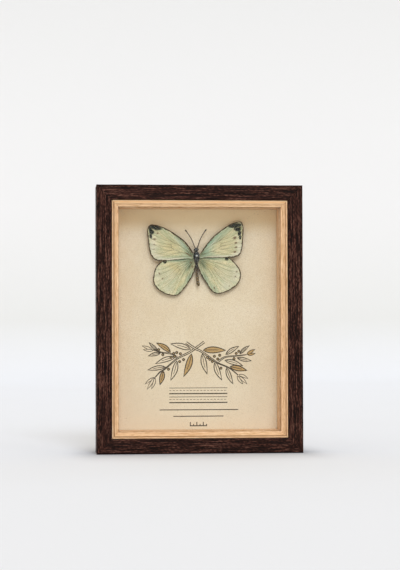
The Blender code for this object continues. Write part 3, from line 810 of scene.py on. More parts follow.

# %% [markdown]
# ## The printed card
#
# The card is aged cream paper with two crossed leafy sprigs, and below them the guide lines of a
# blank label and a small ruler. Print is flat, so nothing here is raised: the card's front face
# is cut up into ink, tan and paper areas instead, as a stencil cutter would do it. A constrained
# Delaunay triangulation does the cutting. Each shape is a polygon, the later ones lie on top, and
# every triangle takes the colour of the last polygon that covers it.
#
# The sprigs are drawn leaf by leaf, from points that were measured.


# %% Tools for flat drawing
def smooth_path(points, steps=8):
    """A smooth line through the points (Catmull-Rom)."""
    points = [Vector(point) for point in points]
    points = [2 * points[0] - points[1], *points, 2 * points[-1] - points[-2]]
    path = []
    for before, a, b, after in zip(points, points[1:], points[2:], points[3:]):
        for step in range(steps):
            t = step / steps
            path.append(0.5 * (
                2 * a + (b - before) * t + (2 * before - 5 * a + 4 * b - after) * t ** 2
                + (3 * a - before - 3 * b + after) * t ** 3
            ))
    path.append(points[-2])
    return path


def stroke(path, width_start, width_end):
    """A pen line of changing width as a polygon."""
    left, right = [], []
    last = len(path) - 1
    for index, point in enumerate(path):
        along = (path[min(index + 1, last)] - path[max(index - 1, 0)]).normalized()
        side = Vector((-along.y, along.x))
        half = (width_start + (width_end - width_start) * index / last) / 2
        left.append(point + side * half)
        right.append(point - side * half)
    return left + right[::-1]


def leaf_outline(base, tip, width, bend, steps=9):
    """A pointed leaf from base to tip, widest before its middle and bent a little."""
    axis = tip - base
    side = Vector((-axis.y, axis.x)).normalized()
    shares = [step / steps for step in range(steps + 1)]
    spine = [base + axis * t + side * bend * math.sin(math.pi * t) for t in shares]
    halves = [width / 2 * math.sin(math.pi * t ** 0.8) ** 0.9 for t in shares[1:-1]]
    left = [point + side * half for point, half in zip(spine[1:-1], halves)]
    right = [point - side * half for point, half in zip(spine[1:-1], halves)]
    return [spine[0], *left, spine[-1], *right[::-1]], spine


def circle(centre, radius, steps=14):
    angles = [2 * math.pi * step / steps for step in range(steps)]
    return [Vector((centre[0] + radius * math.cos(a), centre[1] + radius * math.sin(a)))
            for a in angles]


# %% The sprigs and the label lines, in millimetres on the card
PAPER, INK, TAN, HOLE = range(4)
PEN = 0.88
FINE_PEN = 0.6
SMALL_LEAF = 3.1
drawing = []


def draw(polygon, layer):
    drawing.append((polygon, layer))


def draw_leaf(base, tip, width, bend, layer):
    base, tip = Vector(base), Vector(tip)
    outer, spine = leaf_outline(base, tip, width, bend)
    direction = (tip - base).normalized()
    small = width < SMALL_LEAF
    pen = FINE_PEN if small else PEN
    inner, _ = leaf_outline(base + direction * pen * 1.4, tip - direction * pen * 2,
                            width - 2 * pen, bend)
    draw(outer, INK)
    draw(inner, layer)
    if not small:
        draw(stroke(spine[1:-3], pen * 0.75, pen * 0.5), INK)


def draw_branch(points, start, end):
    """A twig between two pen lines, which meet where it gets thin."""
    path = smooth_path(points)
    hollow = path[: len(path) * 2 // 3]
    draw(stroke(path, start, end), INK)
    draw(stroke(hollow, start - 1.75 * PEN, 0.1), PAPER)


# Each leaf is its base, its tip, its width, its bend and its filling, in the order of drawing.
LEAVES = (
    ((-5.8, 89.1), (-24.3, 94.1), 5.4, -0.6, PAPER), ((-23.5, 86.5), (-36.7, 95.1), 4.9, -0.8, TAN),
    ((-35.0, 88.2), (-42.9, 95.6), 3.2, 0.3, PAPER),
    ((-39.4, 88.6), (-49.1, 92.5), 2.7, -0.2, PAPER),
    ((-38.5, 88.4), (-48.2, 89.1), 2.5, 0.3, PAPER),
    ((-32.3, 86.0), (-43.8, 83.3), 3.6, -0.3, PAPER),
    ((-19.0, 82.6), (-37.6, 76.5), 4.8, -0.7, PAPER),
    ((-27.9, 73.9), (-44.4, 71.1), 4.4, -0.4, PAPER), ((-5.3, 85.6), (-12.6, 64.8), 6.0, 0.9, TAN),
    ((-18.2, 79.5), (-23.9, 61.7), 5.2, 0.8, PAPER), ((-30.1, 70.8), (-33.2, 57.8), 4.8, 0.2, TAN),
    ((-37.2, 64.9), (-46.5, 58.7), 2.6, -0.5, PAPER),
    ((-37.2, 64.8), (-40.7, 54.4), 2.8, 0.5, PAPER),
    ((-38.1, 64.8), (-44.7, 53.9), 2.8, 0.2, PAPER), ((4.4, 88.4), (25.2, 88.2), 6.2, 0.3, TAN),
    ((4.0, 85.6), (8.4, 66.9), 5.4, -0.6, PAPER), ((15.0, 78.7), (21.4, 61.6), 5.2, -0.9, PAPER),
    ((25.2, 73.5), (31.2, 58.3), 4.6, -0.7, PAPER), ((24.3, 84.3), (36.7, 91.9), 4.2, 0.5, PAPER),
    ((36.7, 84.7), (45.8, 92.5), 3.2, 0.5, PAPER), ((42.9, 84.3), (50.9, 89.1), 3.0, 0.3, TAN),
    ((43.8, 84.0), (51.1, 85.6), 2.4, -0.2, TAN), ((34.1, 81.7), (47.8, 78.8), 3.8, -0.2, PAPER),
    ((23.4, 79.5), (40.2, 74.3), 4.6, 0.6, PAPER), ((27.9, 73.9), (43.8, 70.4), 5.4, 0.2, TAN),
    ((35.8, 66.9), (44.5, 63.2), 2.8, 0.5, PAPER), ((35.8, 65.6), (43.6, 58.3), 2.8, 0.3, PAPER),
    ((34.5, 66.1), (40.1, 58.3), 2.8, -0.5, PAPER),
)
STEMS = (
    ((5.7, 95.6), (2.2, 93.0), (-6.6, 86.9), (-13.7, 83.4), (-19.0, 80.4), (-28.8, 72.1),
     (-33.2, 69.3), (-37.2, 64.9)),
    ((-10.2, 95.1), (-2.2, 89.8), (3.1, 87.3), (12.8, 80.4), (18.1, 76.9), (27.9, 72.6),
     (35.4, 66.5)),
)
TWIGS = (
    ((-18.2, 82.1), (-22.6, 85.1), (-31.4, 86.6), (-39.4, 88.8)),
    ((18.0, 78.5), (24.3, 82.3), (34.1, 83.3), (42.9, 84.3)),
)
BUDS = (
    (-21.0, 85.6), (-18.4, 86.4), (-15.2, 85.3), (-20.2, 83.2), (-15.9, 78.5), (-12.4, 80.2),
    (-30.6, 84.6), (-34.2, 88.9), (-25.6, 71.9), (-23.4, 82.2), (14.6, 83.0), (10.6, 80.4),
    (12.8, 78.5), (20.4, 72.6), (31.9, 80.9), (33.8, 85.5), (36.1, 87.3), (19.3, 83.9),
    (8.6, 82.0), (17.6, 80.6),
)
BUD_RADIUS = 1.35
for leaf in LEAVES:
    draw_leaf(*leaf)
for stem in STEMS:
    draw_branch(stem, 2.5, 1.0)
for twig in TWIGS:
    draw_branch(twig, 2.0, 0.9)
for centre in BUDS:
    draw(circle(centre, BUD_RADIUS), INK)
    draw(circle(centre, BUD_RADIUS - PEN, 10), TAN)

# The label is blank: guide lines for two headings, with dashed middles, then for two lines of
# text, and last a small ruler. Each line is its left end, right end, foot and thickness.
RULES = (
    (-25.0, 26.0, 55.2, 0.5), (-25.0, 26.0, 50.0, 1.0), (-25.0, 26.0, 47.4, 0.5),
    (-25.0, 26.0, 42.2, 1.0), (-33.5, 35.5, 36.0, 0.8), (-21.5, 22.5, 30.4, 0.8),
    (-7.0, 8.0, 22.0, 0.9),
)
DASH_FEET = (53.0, 45.2)
DASH, DASH_STEP, DASH_THICKNESS = 2.0, 3, 0.4
RULER_FOOT, RULER_MARK = 22.2, 0.8
RULER_MARKS = [(-6.6 + 2.84 * index, 3.6 if index % 2 == 0 else 1.8) for index in range(6)]


def draw_block(left, right, low, high):
    corners = (left, low), (right, low), (right, high), (left, high)
    draw([Vector(corner) for corner in corners], INK)


for left, right, foot, thickness in RULES:
    draw_block(left, right, foot, foot + thickness)
for foot in DASH_FEET:
    for left in range(-25, 25, DASH_STEP):
        draw_block(left, left + DASH, foot, foot + DASH_THICKNESS)
for middle, tall in RULER_MARKS:
    draw_block(middle - RULER_MARK / 2, middle + RULER_MARK / 2, RULER_FOOT, RULER_FOOT + tall)
print("drawing:", len(drawing), "shapes")

# %% [markdown]
# The paper itself has two kinds of age: broad warm stains, and small brown specks. Two tints on
# it are painted light: a warmer tone where the top rail's shadow falls, for the colour of that
# shade, and a paler tone towards its foot, against the orange light bounced from the pale wood
# below. The inks are laid over the same paper and a little worn, so its mottling shows through
# them as it does in a real print.


# %% Paper and inks
WORN_SHARE = 0.86


def print_material(name, tint, strength):
    """Aged paper, or ink of this tint on it."""
    material, tree, shader = new_material(name)
    stains = noise(tree, (38, 38, 46), detail=3.0)
    cloud = noise(tree, (6, 6, 7), detail=4.0, shift=2.0)
    fibre = noise(tree, (1.1, 1.1, 0.9), detail=3.0, shift=4.0)
    specks = noise(tree, (1.0, 1.0, 0.9), detail=1.0, shift=9.0)
    paper = ramp(tree, stains, [
        (0.34, 223, 208, 180), (0.5, 227, 214, 187), (0.66, 229, 217, 192),
    ])
    paper = glaze(tree, paper, cloud, 0.42, 0.72, 0.3, 219, 202, 168)
    paper = glaze(tree, paper, fibre, 0.4, 0.66, 0.5, 206, 188, 154)
    place_in = object_place(tree)
    height = add(tree, "ShaderNodeSeparateXYZ", {0: place_in}).outputs["Z"]
    # Painted light: paler towards the foot, against the orange light bounced from the pale wood
    # below.
    painted_paler_foot = spread(tree, height, 80 * MM, 15 * MM, 0.0, 0.6)
    paper = blend(tree, painted_paler_foot, paper, paint(231, 220, 197))
    # Painted shade: a warmer tone where the top rail's shadow falls.
    painted_shade_warmth = spread(tree, height, 190 * MM, 203 * MM)
    paper = blend(tree, painted_shade_warmth, paper, paint(235, 216, 176))
    paper = glaze(tree, paper, specks, 0.68, 0.75, 0.6, 150, 122, 86)
    colour = paper
    if strength:
        worn = spread(tree, fibre, 0.35, 0.75, strength, strength * WORN_SHARE)
        colour = blend(tree, worn, paper, tint)
    coat(tree, shader, Base_Color=colour, Specular_IOR_Level=0.1,
         Roughness=spread(tree, cloud, 0.3, 0.7, 0.72, 0.86))
    bump(tree, shader, fibre, 0.02 * MM)
    return material


card_paper = print_material("card_paper", None, 0.0)
card_ink = print_material("card_ink", paint(40, 28, 18), 0.98)
card_tan = print_material("card_tan", paint(177, 144, 88), 0.95)

# %% Butterfly's place, which the pin hole needs
BUTTERFLY_X = -1.25 * MM
BUTTERFLY_Z = 170.3 * MM
BUTTERFLY_DEPTH = 24.4 * MM
BUTTERFLY_TURN = -1.6
PIN_Z = 0.4
BUTTERFLY = (
    Matrix.Translation((BUTTERFLY_X, depth_to_y(BUTTERFLY_DEPTH), BUTTERFLY_Z))
    @ Matrix.Rotation(math.radians(BUTTERFLY_TURN), 4, "Y")
)
pin_place = BUTTERFLY @ Vector((0, 0, PIN_Z * MM))


# %% Cut the card's face into paper, ink and tan
def turns_left(polygon):
    """True if the polygon runs anticlockwise, as the triangulation wants it."""
    pairs = zip(polygon, [*polygon[1:], polygon[0]])
    return sum(a[0] * b[1] - b[0] * a[1] for a, b in pairs) > 0


def cut_flat(outline, shapes, loose=()):
    """Flat triangles inside the outline, and for each the number of the last shape over it."""
    points, faces = [], []
    for polygon in (outline, *shapes):
        polygon = polygon if turns_left(polygon) else polygon[::-1]
        faces.append(list(range(len(points), len(points) + len(polygon))))
        points += [Vector(point) for point in polygon]
    points += [Vector(point) for point in loose]
    verts, _, triangles, _, _, owners = delaunay_2d_cdt(points, [], faces, 1, 1e-5)
    return verts, triangles, [max(owner, default=0) for owner in owners]


def sheet_mesh(name, verts, triangles, layers, front, thickness, place_point):
    """A closed sheet from flat triangles; place_point makes a 3-D point of a flat one."""
    count = len(verts)
    points = [place_point(v, depth) for depth in (front, front + thickness) for v in verts]
    faces, kinds = [], []
    rim = {}  # the edges with one triangle; a dictionary keeps them in order
    for triangle, layer in zip(triangles, layers):
        faces.append(tuple(triangle))
        faces.append(tuple(index + count for index in reversed(triangle)))
        kinds += [layer, 0]
        for a, b in zip(triangle, (*triangle[1:], triangle[0])):
            if (b, a) in rim:
                del rim[(b, a)]
            else:
                rim[(a, b)] = True
    for a, b in rim:
        faces.append((b, a, a + count, b + count))
        kinds.append(0)
    mesh = bpy.data.meshes.new(name)
    mesh.from_pydata(points, [], faces)
    mesh.polygons.foreach_set("material_index", kinds)
    return mesh


half_card = (FRAME_WIDTH / 2 - CARD_INSET) / MM
card_low, card_high = CARD_INSET / MM, (FRAME_HEIGHT - CARD_INSET) / MM
card_outline = [(-half_card, card_low), (half_card, card_low), (half_card, card_high),
                (-half_card, card_high)]
PIN_HOLE = 0.35
draw(circle((pin_place.x / MM, pin_place.z / MM), PIN_HOLE, 12), HOLE)
shape_layers = [PAPER] + [layer for _, layer in drawing]
flat_points, triangles, owners = cut_flat(card_outline, [polygon for polygon, _ in drawing])
kept = [(t, shape_layers[o]) for t, o in zip(triangles, owners) if shape_layers[o] != HOLE]
card_mesh = sheet_mesh(
    "card_sheet", flat_points, [t for t, _ in kept], [layer for _, layer in kept],
    depth_to_y(CARD_DEPTH), CARD_THICKNESS, lambda v, y: (v.x * MM, y, v.y * MM),
)
for material in (card_paper, card_ink, card_tan):
    card_mesh.materials.append(material)
finish(place("card_sheet", card_mesh), "printed_paper", "print_card")

# %% [markdown]
# ## Wings
#
# A butterfly's wing is a thin membrane, stretched over hollow veins and covered with scales that
# lie in rows like tiles. The colour comes from the scales: pale green, with blue-green near the
# body, whitish near the rim, a dark brown line along the edge and a black tip.
#
# The outline is a smooth closed curve through measured points. The membrane inside it is
# triangulated finely, so that each of its points can carry numbers for the material: how far it
# is from the edge, how much blue-green, white or yellow it has, and how near it is to a dark
# spot. The material turns these into colour and frays them with noise, so the borders look
# scaly instead of sprayed. A fan-shaped UV map, angle round the root by distance from it,
# stretches the noise into streaks that run out from the body, as rows of scales do.

# %% Outlines of the wings, in millimetres outwards from the thorax's middle, and up
WING_OUTLINES = {
    "forewing_left": (
        (3.1, -1.2), (2.8, 1.4), (3.0, 3.6), (5.1, 7.4), (9.7, 13.5), (16.3, 18.9),
        (24.1, 24.0), (30.8, 27.1), (36.0, 28.6), (39.8, 28.5), (41.9, 26.0), (41.9, 16.0),
        (41.0, 6.8), (39.2, 1.2), (35.8, -2.2), (29.2, -2.9), (16.0, -2.4), (7.5, -1.8),
    ),
    "forewing_right": (
        (3.1, -1.2), (2.9, 1.0), (3.9, 3.4), (5.7, 6.0), (9.3, 10.7), (16.3, 17.9),
        (23.8, 23.4), (30.7, 27.4), (36.8, 29.4), (40.0, 29.3), (41.5, 26.6), (41.3, 14.8),
        (40.2, 5.7), (38.2, 0.8), (34.4, -1.3), (27.3, -1.7), (14.0, -1.5), (7.0, -1.3),
    ),
    "hindwing_left": (
        (2.9, -1.7), (8.0, 0.6), (17.0, 0.8), (25.0, -0.6), (30.2, -3.4), (35.5, -8.2),
        (37.8, -15.0), (38.4, -21.0), (35.5, -26.6), (30.0, -31.0), (22.1, -33.7),
        (17.2, -33.2), (12.8, -29.3), (7.1, -21.9), (2.9, -14.8), (1.5, -10.6), (1.4, -7.5),
        (1.9, -4.6),
    ),
    "hindwing_right": (
        (2.9, -1.7), (8.0, 0.6), (17.0, 1.0), (24.0, 0.4), (29.4, -2.4), (34.6, -7.7),
        (38.0, -13.3), (38.4, -18.9), (36.0, -24.5), (30.3, -29.2), (24.0, -32.1),
        (17.4, -33.2), (12.9, -31.0), (8.3, -24.2), (4.2, -17.3), (1.9, -11.9), (1.4, -8.0),
        (1.9, -4.6),
    ),
}
MEMBRANE = 0.16
WING_STAGGER = 0.65
WING_LIFT = 1.1
WING_REACH = 41.0
WING_CAMBER = 0.3
WING_CHORD = 36.0
RIPPLE, RIPPLE_TURNS, RIPPLE_START = 0.05, 38, 15
CELL = 0.42
STATION_STEPS = 24
ROOTS = {"forewing": (3.0, 0.6), "hindwing": (2.2, -2.6)}


def membrane_depth(kind, x, z):
    """How far back of the thorax's middle the membrane lies; its tip is lifted forwards."""
    lift = WING_LIFT * (x / WING_REACH) ** 2
    camber = WING_CAMBER * math.cos(math.pi / 2 * z / WING_CHORD)
    root_x, root_z = ROOTS[kind]
    angle = math.atan2(z - root_z, x - root_x)
    fade = min(1.0, math.hypot(x - root_x, z - root_z) / RIPPLE_START)
    ripple = RIPPLE * fade * math.sin(RIPPLE_TURNS * angle)
    return WING_CAMBER - lift - camber + ripple + (WING_STAGGER if kind == "hindwing" else 0.0)


def closed_path(outline):
    """A smooth closed line through the outline's points, with equally many steps between them."""
    curve = bpy.data.curves.new("outline", "CURVE")
    curve.dimensions = "2D"
    curve.fill_mode = "NONE"
    curve.resolution_u = STATION_STEPS
    spline = curve.splines.new("BEZIER")
    spline.bezier_points.add(len(outline) - 1)
    for point, (x, z) in zip(spline.bezier_points, outline):
        point.co = (x, z, 0)
        point.handle_left_type = "AUTO"
        point.handle_right_type = "AUTO"
    spline.use_cyclic_u = True
    holder = place("outline", curve)
    evaluated = holder.evaluated_get(bpy.context.evaluated_depsgraph_get())
    mesh = bpy.data.meshes.new_from_object(evaluated)
    bpy.data.objects.remove(holder)
    return [(v.co.x, v.co.y) for v in mesh.vertices]


def at_station(path, station):
    """The point at this station: 2.5 is halfway from the outline's point 2 to its point 3."""
    return path[int(round(station * STATION_STEPS)) % len(path)]


wing_paths = {name: closed_path(outline) for name, outline in WING_OUTLINES.items()}
print("outline points:", {name: len(path) for name, path in wing_paths.items()})

# %% [markdown]
# What each wing wears is written down as a maker would note it: the stretch of edge that is
# inked, soft tinted areas (centre, radii and strength), and spots. Left and right differ, because
# the real wings do.

# %% Colour notes for the wings
# How wide the edge line is at these stations of the outline, as a share of its full width.
INKED = {
    "forewing": ((1.6, 0), (2.2, 1.4), (5.0, 1.25), (6.6, 1), (14.6, 1), (15.4, 0.45),
                 (17.0, 0.45), (17.6, 0)),
    "hindwing": ((3.2, 0), (3.7, 1), (15.5, 1), (16.0, 0)),
}
INK_WIDTH = {"forewing": 0.9, "hindwing": 0.86}
# A tint is (middle x, z, radius x, z, turn in degrees, strength).
TEAL = {
    "forewing_left": ((9.5, 8.2, 10, 3.2, 46, 0.9), (7, 1.0, 8, 3.4, 8, 0.75),
                      (17, 16, 9, 2.4, 36, 0.5), (16, -1.2, 12, 1.6, -1, 0.5)),
    "forewing_right": ((10.5, 8.4, 11, 4.4, 50, 1.0), (8, 1.0, 9, 3.6, 6, 0.85),
                       (20, 17.5, 10, 3.8, 38, 0.8), (30, 23, 6, 2.4, 22, 0.3)),
    "hindwing_left": ((16, -2.4, 15, 2.2, 0, 1.0), (6.5, -6.8, 7, 3.4, -52, 0.9),
                      (6.6, -18, 9, 2.6, -58, 0.75), (14, -27, 8, 2.2, -50, 0.45)),
    "hindwing_right": ((14, -1.8, 13, 1.8, 0, 0.85), (5.5, -6, 6, 3.0, -52, 0.85),
                       (7.5, -19, 10, 3.0, -60, 0.8), (14.5, -28, 6, 2.4, -45, 0.5)),
}
SMOKE = {
    "forewing_left": ((6.6, 7.0, 7.0, 1.6, 54, 1.0), (15.5, 17.0, 8.0, 0.9, 39, 0.8),
                      (5.5, 2.6, 5.0, 2.4, 30, 0.7), (37, 25.0, 5, 3.5, -20, 1.0)),
    "forewing_right": ((6.2, 6.0, 6.0, 1.2, 52, 0.9), (14.5, 15.6, 9.0, 0.7, 44, 0.6),
                       (5.2, 1.8, 4.6, 2.0, 25, 0.7), (38, 23.5, 5, 3.4, -50, 1.0)),
    "hindwing_left": ((5.0, -6.5, 7.5, 3.2, -50, 0.9), (9.0, -2.8, 9.0, 1.4, -6, 0.8),
                      (5.5, -15.5, 9.0, 1.4, -62, 0.4), (13, -10, 12, 3, -45, 0.25)),
    "hindwing_right": ((5.0, -6.0, 7.5, 3.2, -48, 0.9), (9.0, -2.4, 8.0, 1.4, -4, 0.7),
                       (6.0, -16.0, 9.0, 1.4, -60, 0.4), (13, -10, 12, 3, -42, 0.25)),
}
PALE = {
    "forewing_left": ((38, 9, 4.4, 12, 4, 0.8), (24, -1.9, 15, 1.3, -2, 1.0),
                      (34, 0.5, 6, 2.8, 15, 0.7), (14, 13, 7, 1.2, 42, 0.5)),
    "forewing_right": ((38.5, 6, 3.6, 10, 8, 0.9), (20, -0.7, 15, 1.2, 0, 1.0),
                       (34, 0.8, 5, 1.8, 14, 0.8), (14, 10, 8, 1.4, 42, 0.4),
                       (24, 9, 12, 7, 25, 0.2)),
    "hindwing_left": ((35, -16, 4.5, 10, 6, 0.5), (26, -29, 7, 4, 35, 0.45),
                      (24, -17, 12, 9, -40, 0.35)),
    "hindwing_right": ((35, -15, 5, 10, 0, 0.6), (25, -27, 9, 5, 30, 0.6),
                       (24, -16, 12, 9, -40, 0.4)),
}
WARM = {
    "forewing_left": ((22, 9, 12, 8, 20, 0.45), (8, 2.4, 5, 1.6, 25, 0.5)),
    "forewing_right": ((25, 10, 12, 8, 20, 0.55), (9, -0.4, 6, 1.0, 8, 0.6)),
    "hindwing_left": ((19, -9.5, 8, 4.4, 35, 0.95), (14, -24, 6, 4, -50, 0.4)),
    "hindwing_right": ((10, -8.5, 6, 3.2, -40, 0.95), (20, -12, 10, 6, -30, 0.35)),
}
BLACK = {
    "forewing_left": ((35.2, 26.1, 6.6, 2.1, 14, 1.1), (39.8, 27.2, 1.8, 1.8, 0, 1.1),
                      (39.8, 24.4, 1.4, 3.2, 0, 1.1), (38.6, 22.0, 2.4, 2.2, 0, 1.1),
                      (39.5, 18.7, 1.4, 2.6, -8, 1.0)),
    "forewing_right": ((34.6, 26.0, 6.8, 2.1, 6, 1.15), (36.5, 22.7, 3.6, 1.85, -12, 1.1),
                       (38.3, 19.2, 1.8, 2.5, -15, 1.1), (38.9, 15.6, 1.3, 2.2, -8, 1.0)),
    "hindwing_left": ((27.7, -3.9, 1.9, 1.8, 0, 1.1),),
    "hindwing_right": ((26.6, -2.8, 1.9, 1.7, 0, 1.1),),
}
BROWN = {
    "forewing_left": ((33.4, 21.1, 1.3, 1.0, 0, 0.9), (36.2, 16.0, 2.0, 1.0, 10, 0.8),
                      (36.6, 11.4, 1.6, 0.6, 10, 0.6), (37.0, 7.2, 1.6, 0.6, 0, 0.5),
                      (6.6, 1.6, 5.0, 0.8, 36, 0.9)),
    "forewing_right": ((34.1, 15.3, 2.1, 1.4, 30, 1.0), (34.8, 10.9, 1.8, 1.1, 20, 0.9),
                       (34.8, 7.0, 1.9, 0.8, 10, 1.0), (33.7, 3.0, 1.7, 1.2, 25, 1.0)),
    "hindwing_left": ((32.8, -14.0, 0.7, 1.7, -35, 0.9), (30.3, -18.5, 0.7, 1.0, -30, 0.8),
                      (33.6, -24.4, 0.8, 0.8, 0, 0.6), (5.2, -5.2, 1.6, 0.8, -30, 1.0),
                      (3.8, -8.8, 1.0, 1.2, 0, 1.0)),
    "hindwing_right": ((35.1, -14.2, 0.8, 1.0, 0, 0.7), (33.7, -18.4, 1.2, 0.7, 25, 0.8),
                       (28.0, -26.7, 0.8, 0.9, 0, 0.7), (14.9, -27.8, 0.7, 1.7, 20, 0.8)),
}


# %% Wing membranes
TINT_FALL = 1.4
HONEYCOMB_ROW = 0.866
FAN_REACH = 50
# The edge line's width wavers along the outline: how much, and how fast, twice over.
WAVERS = ((0.16, 7.3), (0.12, 17.1))


def nearness(x, z, notes):
    """1 in the middle of a tint, 0 at its edge and below 0 outside; the strongest one counts."""
    best = np.full(x.shape, -1.0)
    for middle_x, middle_z, radius_x, radius_z, turn, amount in notes:
        turn = math.radians(turn)
        cos, sin = math.cos(turn), math.sin(turn)
        along = ((x - middle_x) * cos + (z - middle_z) * sin) / radius_x
        across = (-(x - middle_x) * sin + (z - middle_z) * cos) / radius_z
        best = np.maximum(best, (1 - np.hypot(along, across)) * amount)
    return best


def soft_sum(x, z, notes):
    """Tints that fade smoothly and add up to at most 1."""
    total = np.zeros(x.shape)
    for note in notes:
        close = nearness(x, z, [(*note[:5], 1.0)])
        total += note[5] * np.exp(-np.clip(1 - close, 0, 4) ** 2 * TINT_FALL)
    return np.clip(total, 0, 1)


def inside_points(path, spacing):
    """A honeycomb of points inside the outline, a little away from it."""
    ring = np.array(path)
    low, high = ring.min(0), ring.max(0)
    rows = np.arange(low[1], high[1], spacing * HONEYCOMB_ROW)
    points = []
    for row, z in enumerate(rows):
        xs = np.arange(low[0] + (row % 2) * spacing / 2, high[0], spacing)
        points += [(x, z) for x in xs]
    points = np.array(points)
    following = np.roll(ring, -1, axis=0)
    crossings = np.zeros(len(points), int)
    for (ax, az), (bx, bz) in zip(ring, following):
        spans = (az > points[:, 1]) != (bz > points[:, 1])
        if az != bz:
            at = ax + (points[:, 1] - az) * (bx - ax) / (bz - az)
            crossings += spans & (points[:, 0] < at)
    nearest, _ = edge_distance(points, ring)
    return points[(crossings % 2 == 1) & (nearest > spacing * 0.45)]


def edge_distance(points, ring):
    """Distance of each point to the outline's nearest point, and which one that is."""
    gaps = np.linalg.norm(points[:, None, :] - ring[None, :, :], axis=2)
    nearest = gaps.argmin(axis=1)
    return gaps[np.arange(len(points)), nearest], nearest


def make_membrane(name, material):
    """One wing's sheet, with the numbers and the fan map that its material reads."""
    kind = name.split("_")[0]
    mirror = -1 if name.endswith("left") else 1
    path = wing_paths[name]
    verts, triangles, _ = cut_flat(path, [], inside_points(path, CELL))
    if mirror < 0:
        triangles = [tuple(reversed(t)) for t in triangles]

    def stand(v, y):
        return (mirror * v.x * MM, (membrane_depth(kind, v.x, v.y) + y) * MM, v.y * MM)

    mesh = sheet_mesh(name, verts, triangles, [0] * len(triangles), -MEMBRANE / 2, MEMBRANE, stand)
    flat = np.array([(v.x, v.y) for v in verts])
    ring = np.array(path)
    distance, nearest = edge_distance(flat, ring)
    station = nearest / len(ring) * len(WING_OUTLINES[name])
    wavering = 1 + sum(amount * np.sin(station * speed) for amount, speed in WAVERS)
    x, z = flat[:, 0], flat[:, 1]
    numbers = {"edge": distance}
    numbers["ink"] = INK_WIDTH[kind] * wavering * np.interp(station, *zip(*INKED[kind]))
    for tint, notes in (("teal", TEAL), ("smoke", SMOKE), ("pale", PALE), ("warm", WARM)):
        numbers[tint] = soft_sum(x, z, notes[name])
    for spot, notes in (("black", BLACK), ("brown", BROWN)):
        numbers[spot] = nearness(x, z, notes[name])
    for label, values in numbers.items():
        store(mesh, label, np.tile(values.astype(np.float32), 2))
    root_x, root_z = ROOTS[kind]
    angle = np.arctan2(z - root_z, x - root_x)
    reach = np.hypot(x - root_x, z - root_z)
    fan = np.stack([angle / math.pi + 0.5, reach / FAN_REACH], axis=1)
    corners = np.zeros(len(mesh.loops), int)
    mesh.loops.foreach_get("vertex_index", corners)
    layer = mesh.uv_layers.new(name="fan")
    layer.data.foreach_set("uv", fan[corners % len(flat)].astype(np.float32).ravel())
    mesh.transform(BUTTERFLY)
    mesh.materials.append(material)
    sharpen(mesh, 60)
    return place(f"{name}_membrane", mesh)


# %% [markdown]
# The wing's material starts from the pale green ground and lays the tints over it in the order in
# which they hide each other: yellow, blue-green, white, streaks, smoke, spots, black tip and last
# the brown edge line. The streak noise is finer across the fan than along it.


# %% Wing scales
def fan_noise(tree, across, along, detail, shift):
    """Noise on the fan map: across is in degrees, along in millimetres."""
    fan = add(tree, "ShaderNodeUVMap", uv_map="fan")
    size = (across / 180, along / FAN_REACH, 1.0)
    return noise(tree, size, detail, shift, source=fan.outputs[0], unit=1.0)


def streaked(tree, mask, value, low, high, start, end):
    """A tint that the points carry, broken up into streaks by this noise."""
    return scaled(tree, attribute(tree, mask), spread(tree, value, low, high, start, end))


wing_scales, tree, shader = new_material("wing_scales")
streaks = fan_noise(tree, 2.2, 9.0, 3.0, 0.0)
hairlines = fan_noise(tree, 0.9, 12.0, 2.0, 5.0)
bands = fan_noise(tree, 7.0, 26.0, 2.0, 9.0)
fray = noise(tree, (0.45, 0.45, 0.45), detail=2.0)
cloud = noise(tree, (5, 5, 5), detail=3.0, shift=6.0)
frayed = spread(tree, fray, 0.3, 0.7, -0.5, 0.5)

ground = ramp(tree, bands, [
    (0.36, 183, 190, 147), (0.5, 207, 203, 159), (0.64, 224, 212, 166),
])
ground = glaze(tree, ground, cloud, 0.35, 0.7, 0.4, 176, 184, 152)
speckle = noise(tree, (0.8, 0.8, 0.8), detail=3.0, shift=12.0)
ground = glaze(tree, ground, speckle, 0.51, 0.66, 0.45, 134, 130, 92)
ground = glaze(tree, ground, speckle, 0.48, 0.34, 0.5, 236, 226, 192)
warm = streaked(tree, "warm", streaks, 0.3, 0.7, 0.5, 1.0)
tone = blend(tree, warm, ground, paint(204, 186, 126))
teal = streaked(tree, "teal", streaks, 0.32, 0.68, 0.45, 1.15)
teal_tone = ramp(tree, hairlines, [(0.3, 98, 142, 120), (0.7, 148, 182, 156)])
tone = blend(tree, teal, tone, teal_tone)
pale = streaked(tree, "pale", streaks, 0.3, 0.7, 0.55, 1.0)
tone = blend(tree, pale, tone, paint(222, 218, 196))
tone = glaze(tree, tone, streaks, 0.5, 0.74, 0.4, 124, 122, 82)
tone = glaze(tree, tone, hairlines, 0.54, 0.7, 0.42, 104, 102, 70)
tone = glaze(tree, tone, hairlines, 0.44, 0.3, 0.3, 224, 218, 186)
rays = fan_noise(tree, 4.5, 20.0, 2.0, 15.0)
smoke = streaked(tree, "smoke", rays, 0.4, 0.58, 0.2, 1.2)
tone = blend(tree, smoke, tone, paint(60, 64, 16))
brown = sum_of(tree, attribute(tree, "brown"), scaled(tree, frayed, 0.5))
tone = glaze(tree, tone, brown, 0.0, 0.5, 0.9, 108, 78, 54)
black = sum_of(tree, attribute(tree, "black"), scaled(tree, frayed, 0.35))
black_tone = ramp(tree, streaks, [(0.35, 6, 9, 9), (0.72, 40, 46, 42)])
tone = blend(tree, spread(tree, black, 0.0, 0.22, 0.0, 0.96), tone, black_tone)
edge_gap = sum_of(tree, attribute(tree, "ink"), attribute(tree, "edge"), "SUBTRACT")
edge_gap = sum_of(tree, edge_gap, scaled(tree, frayed, 0.22))
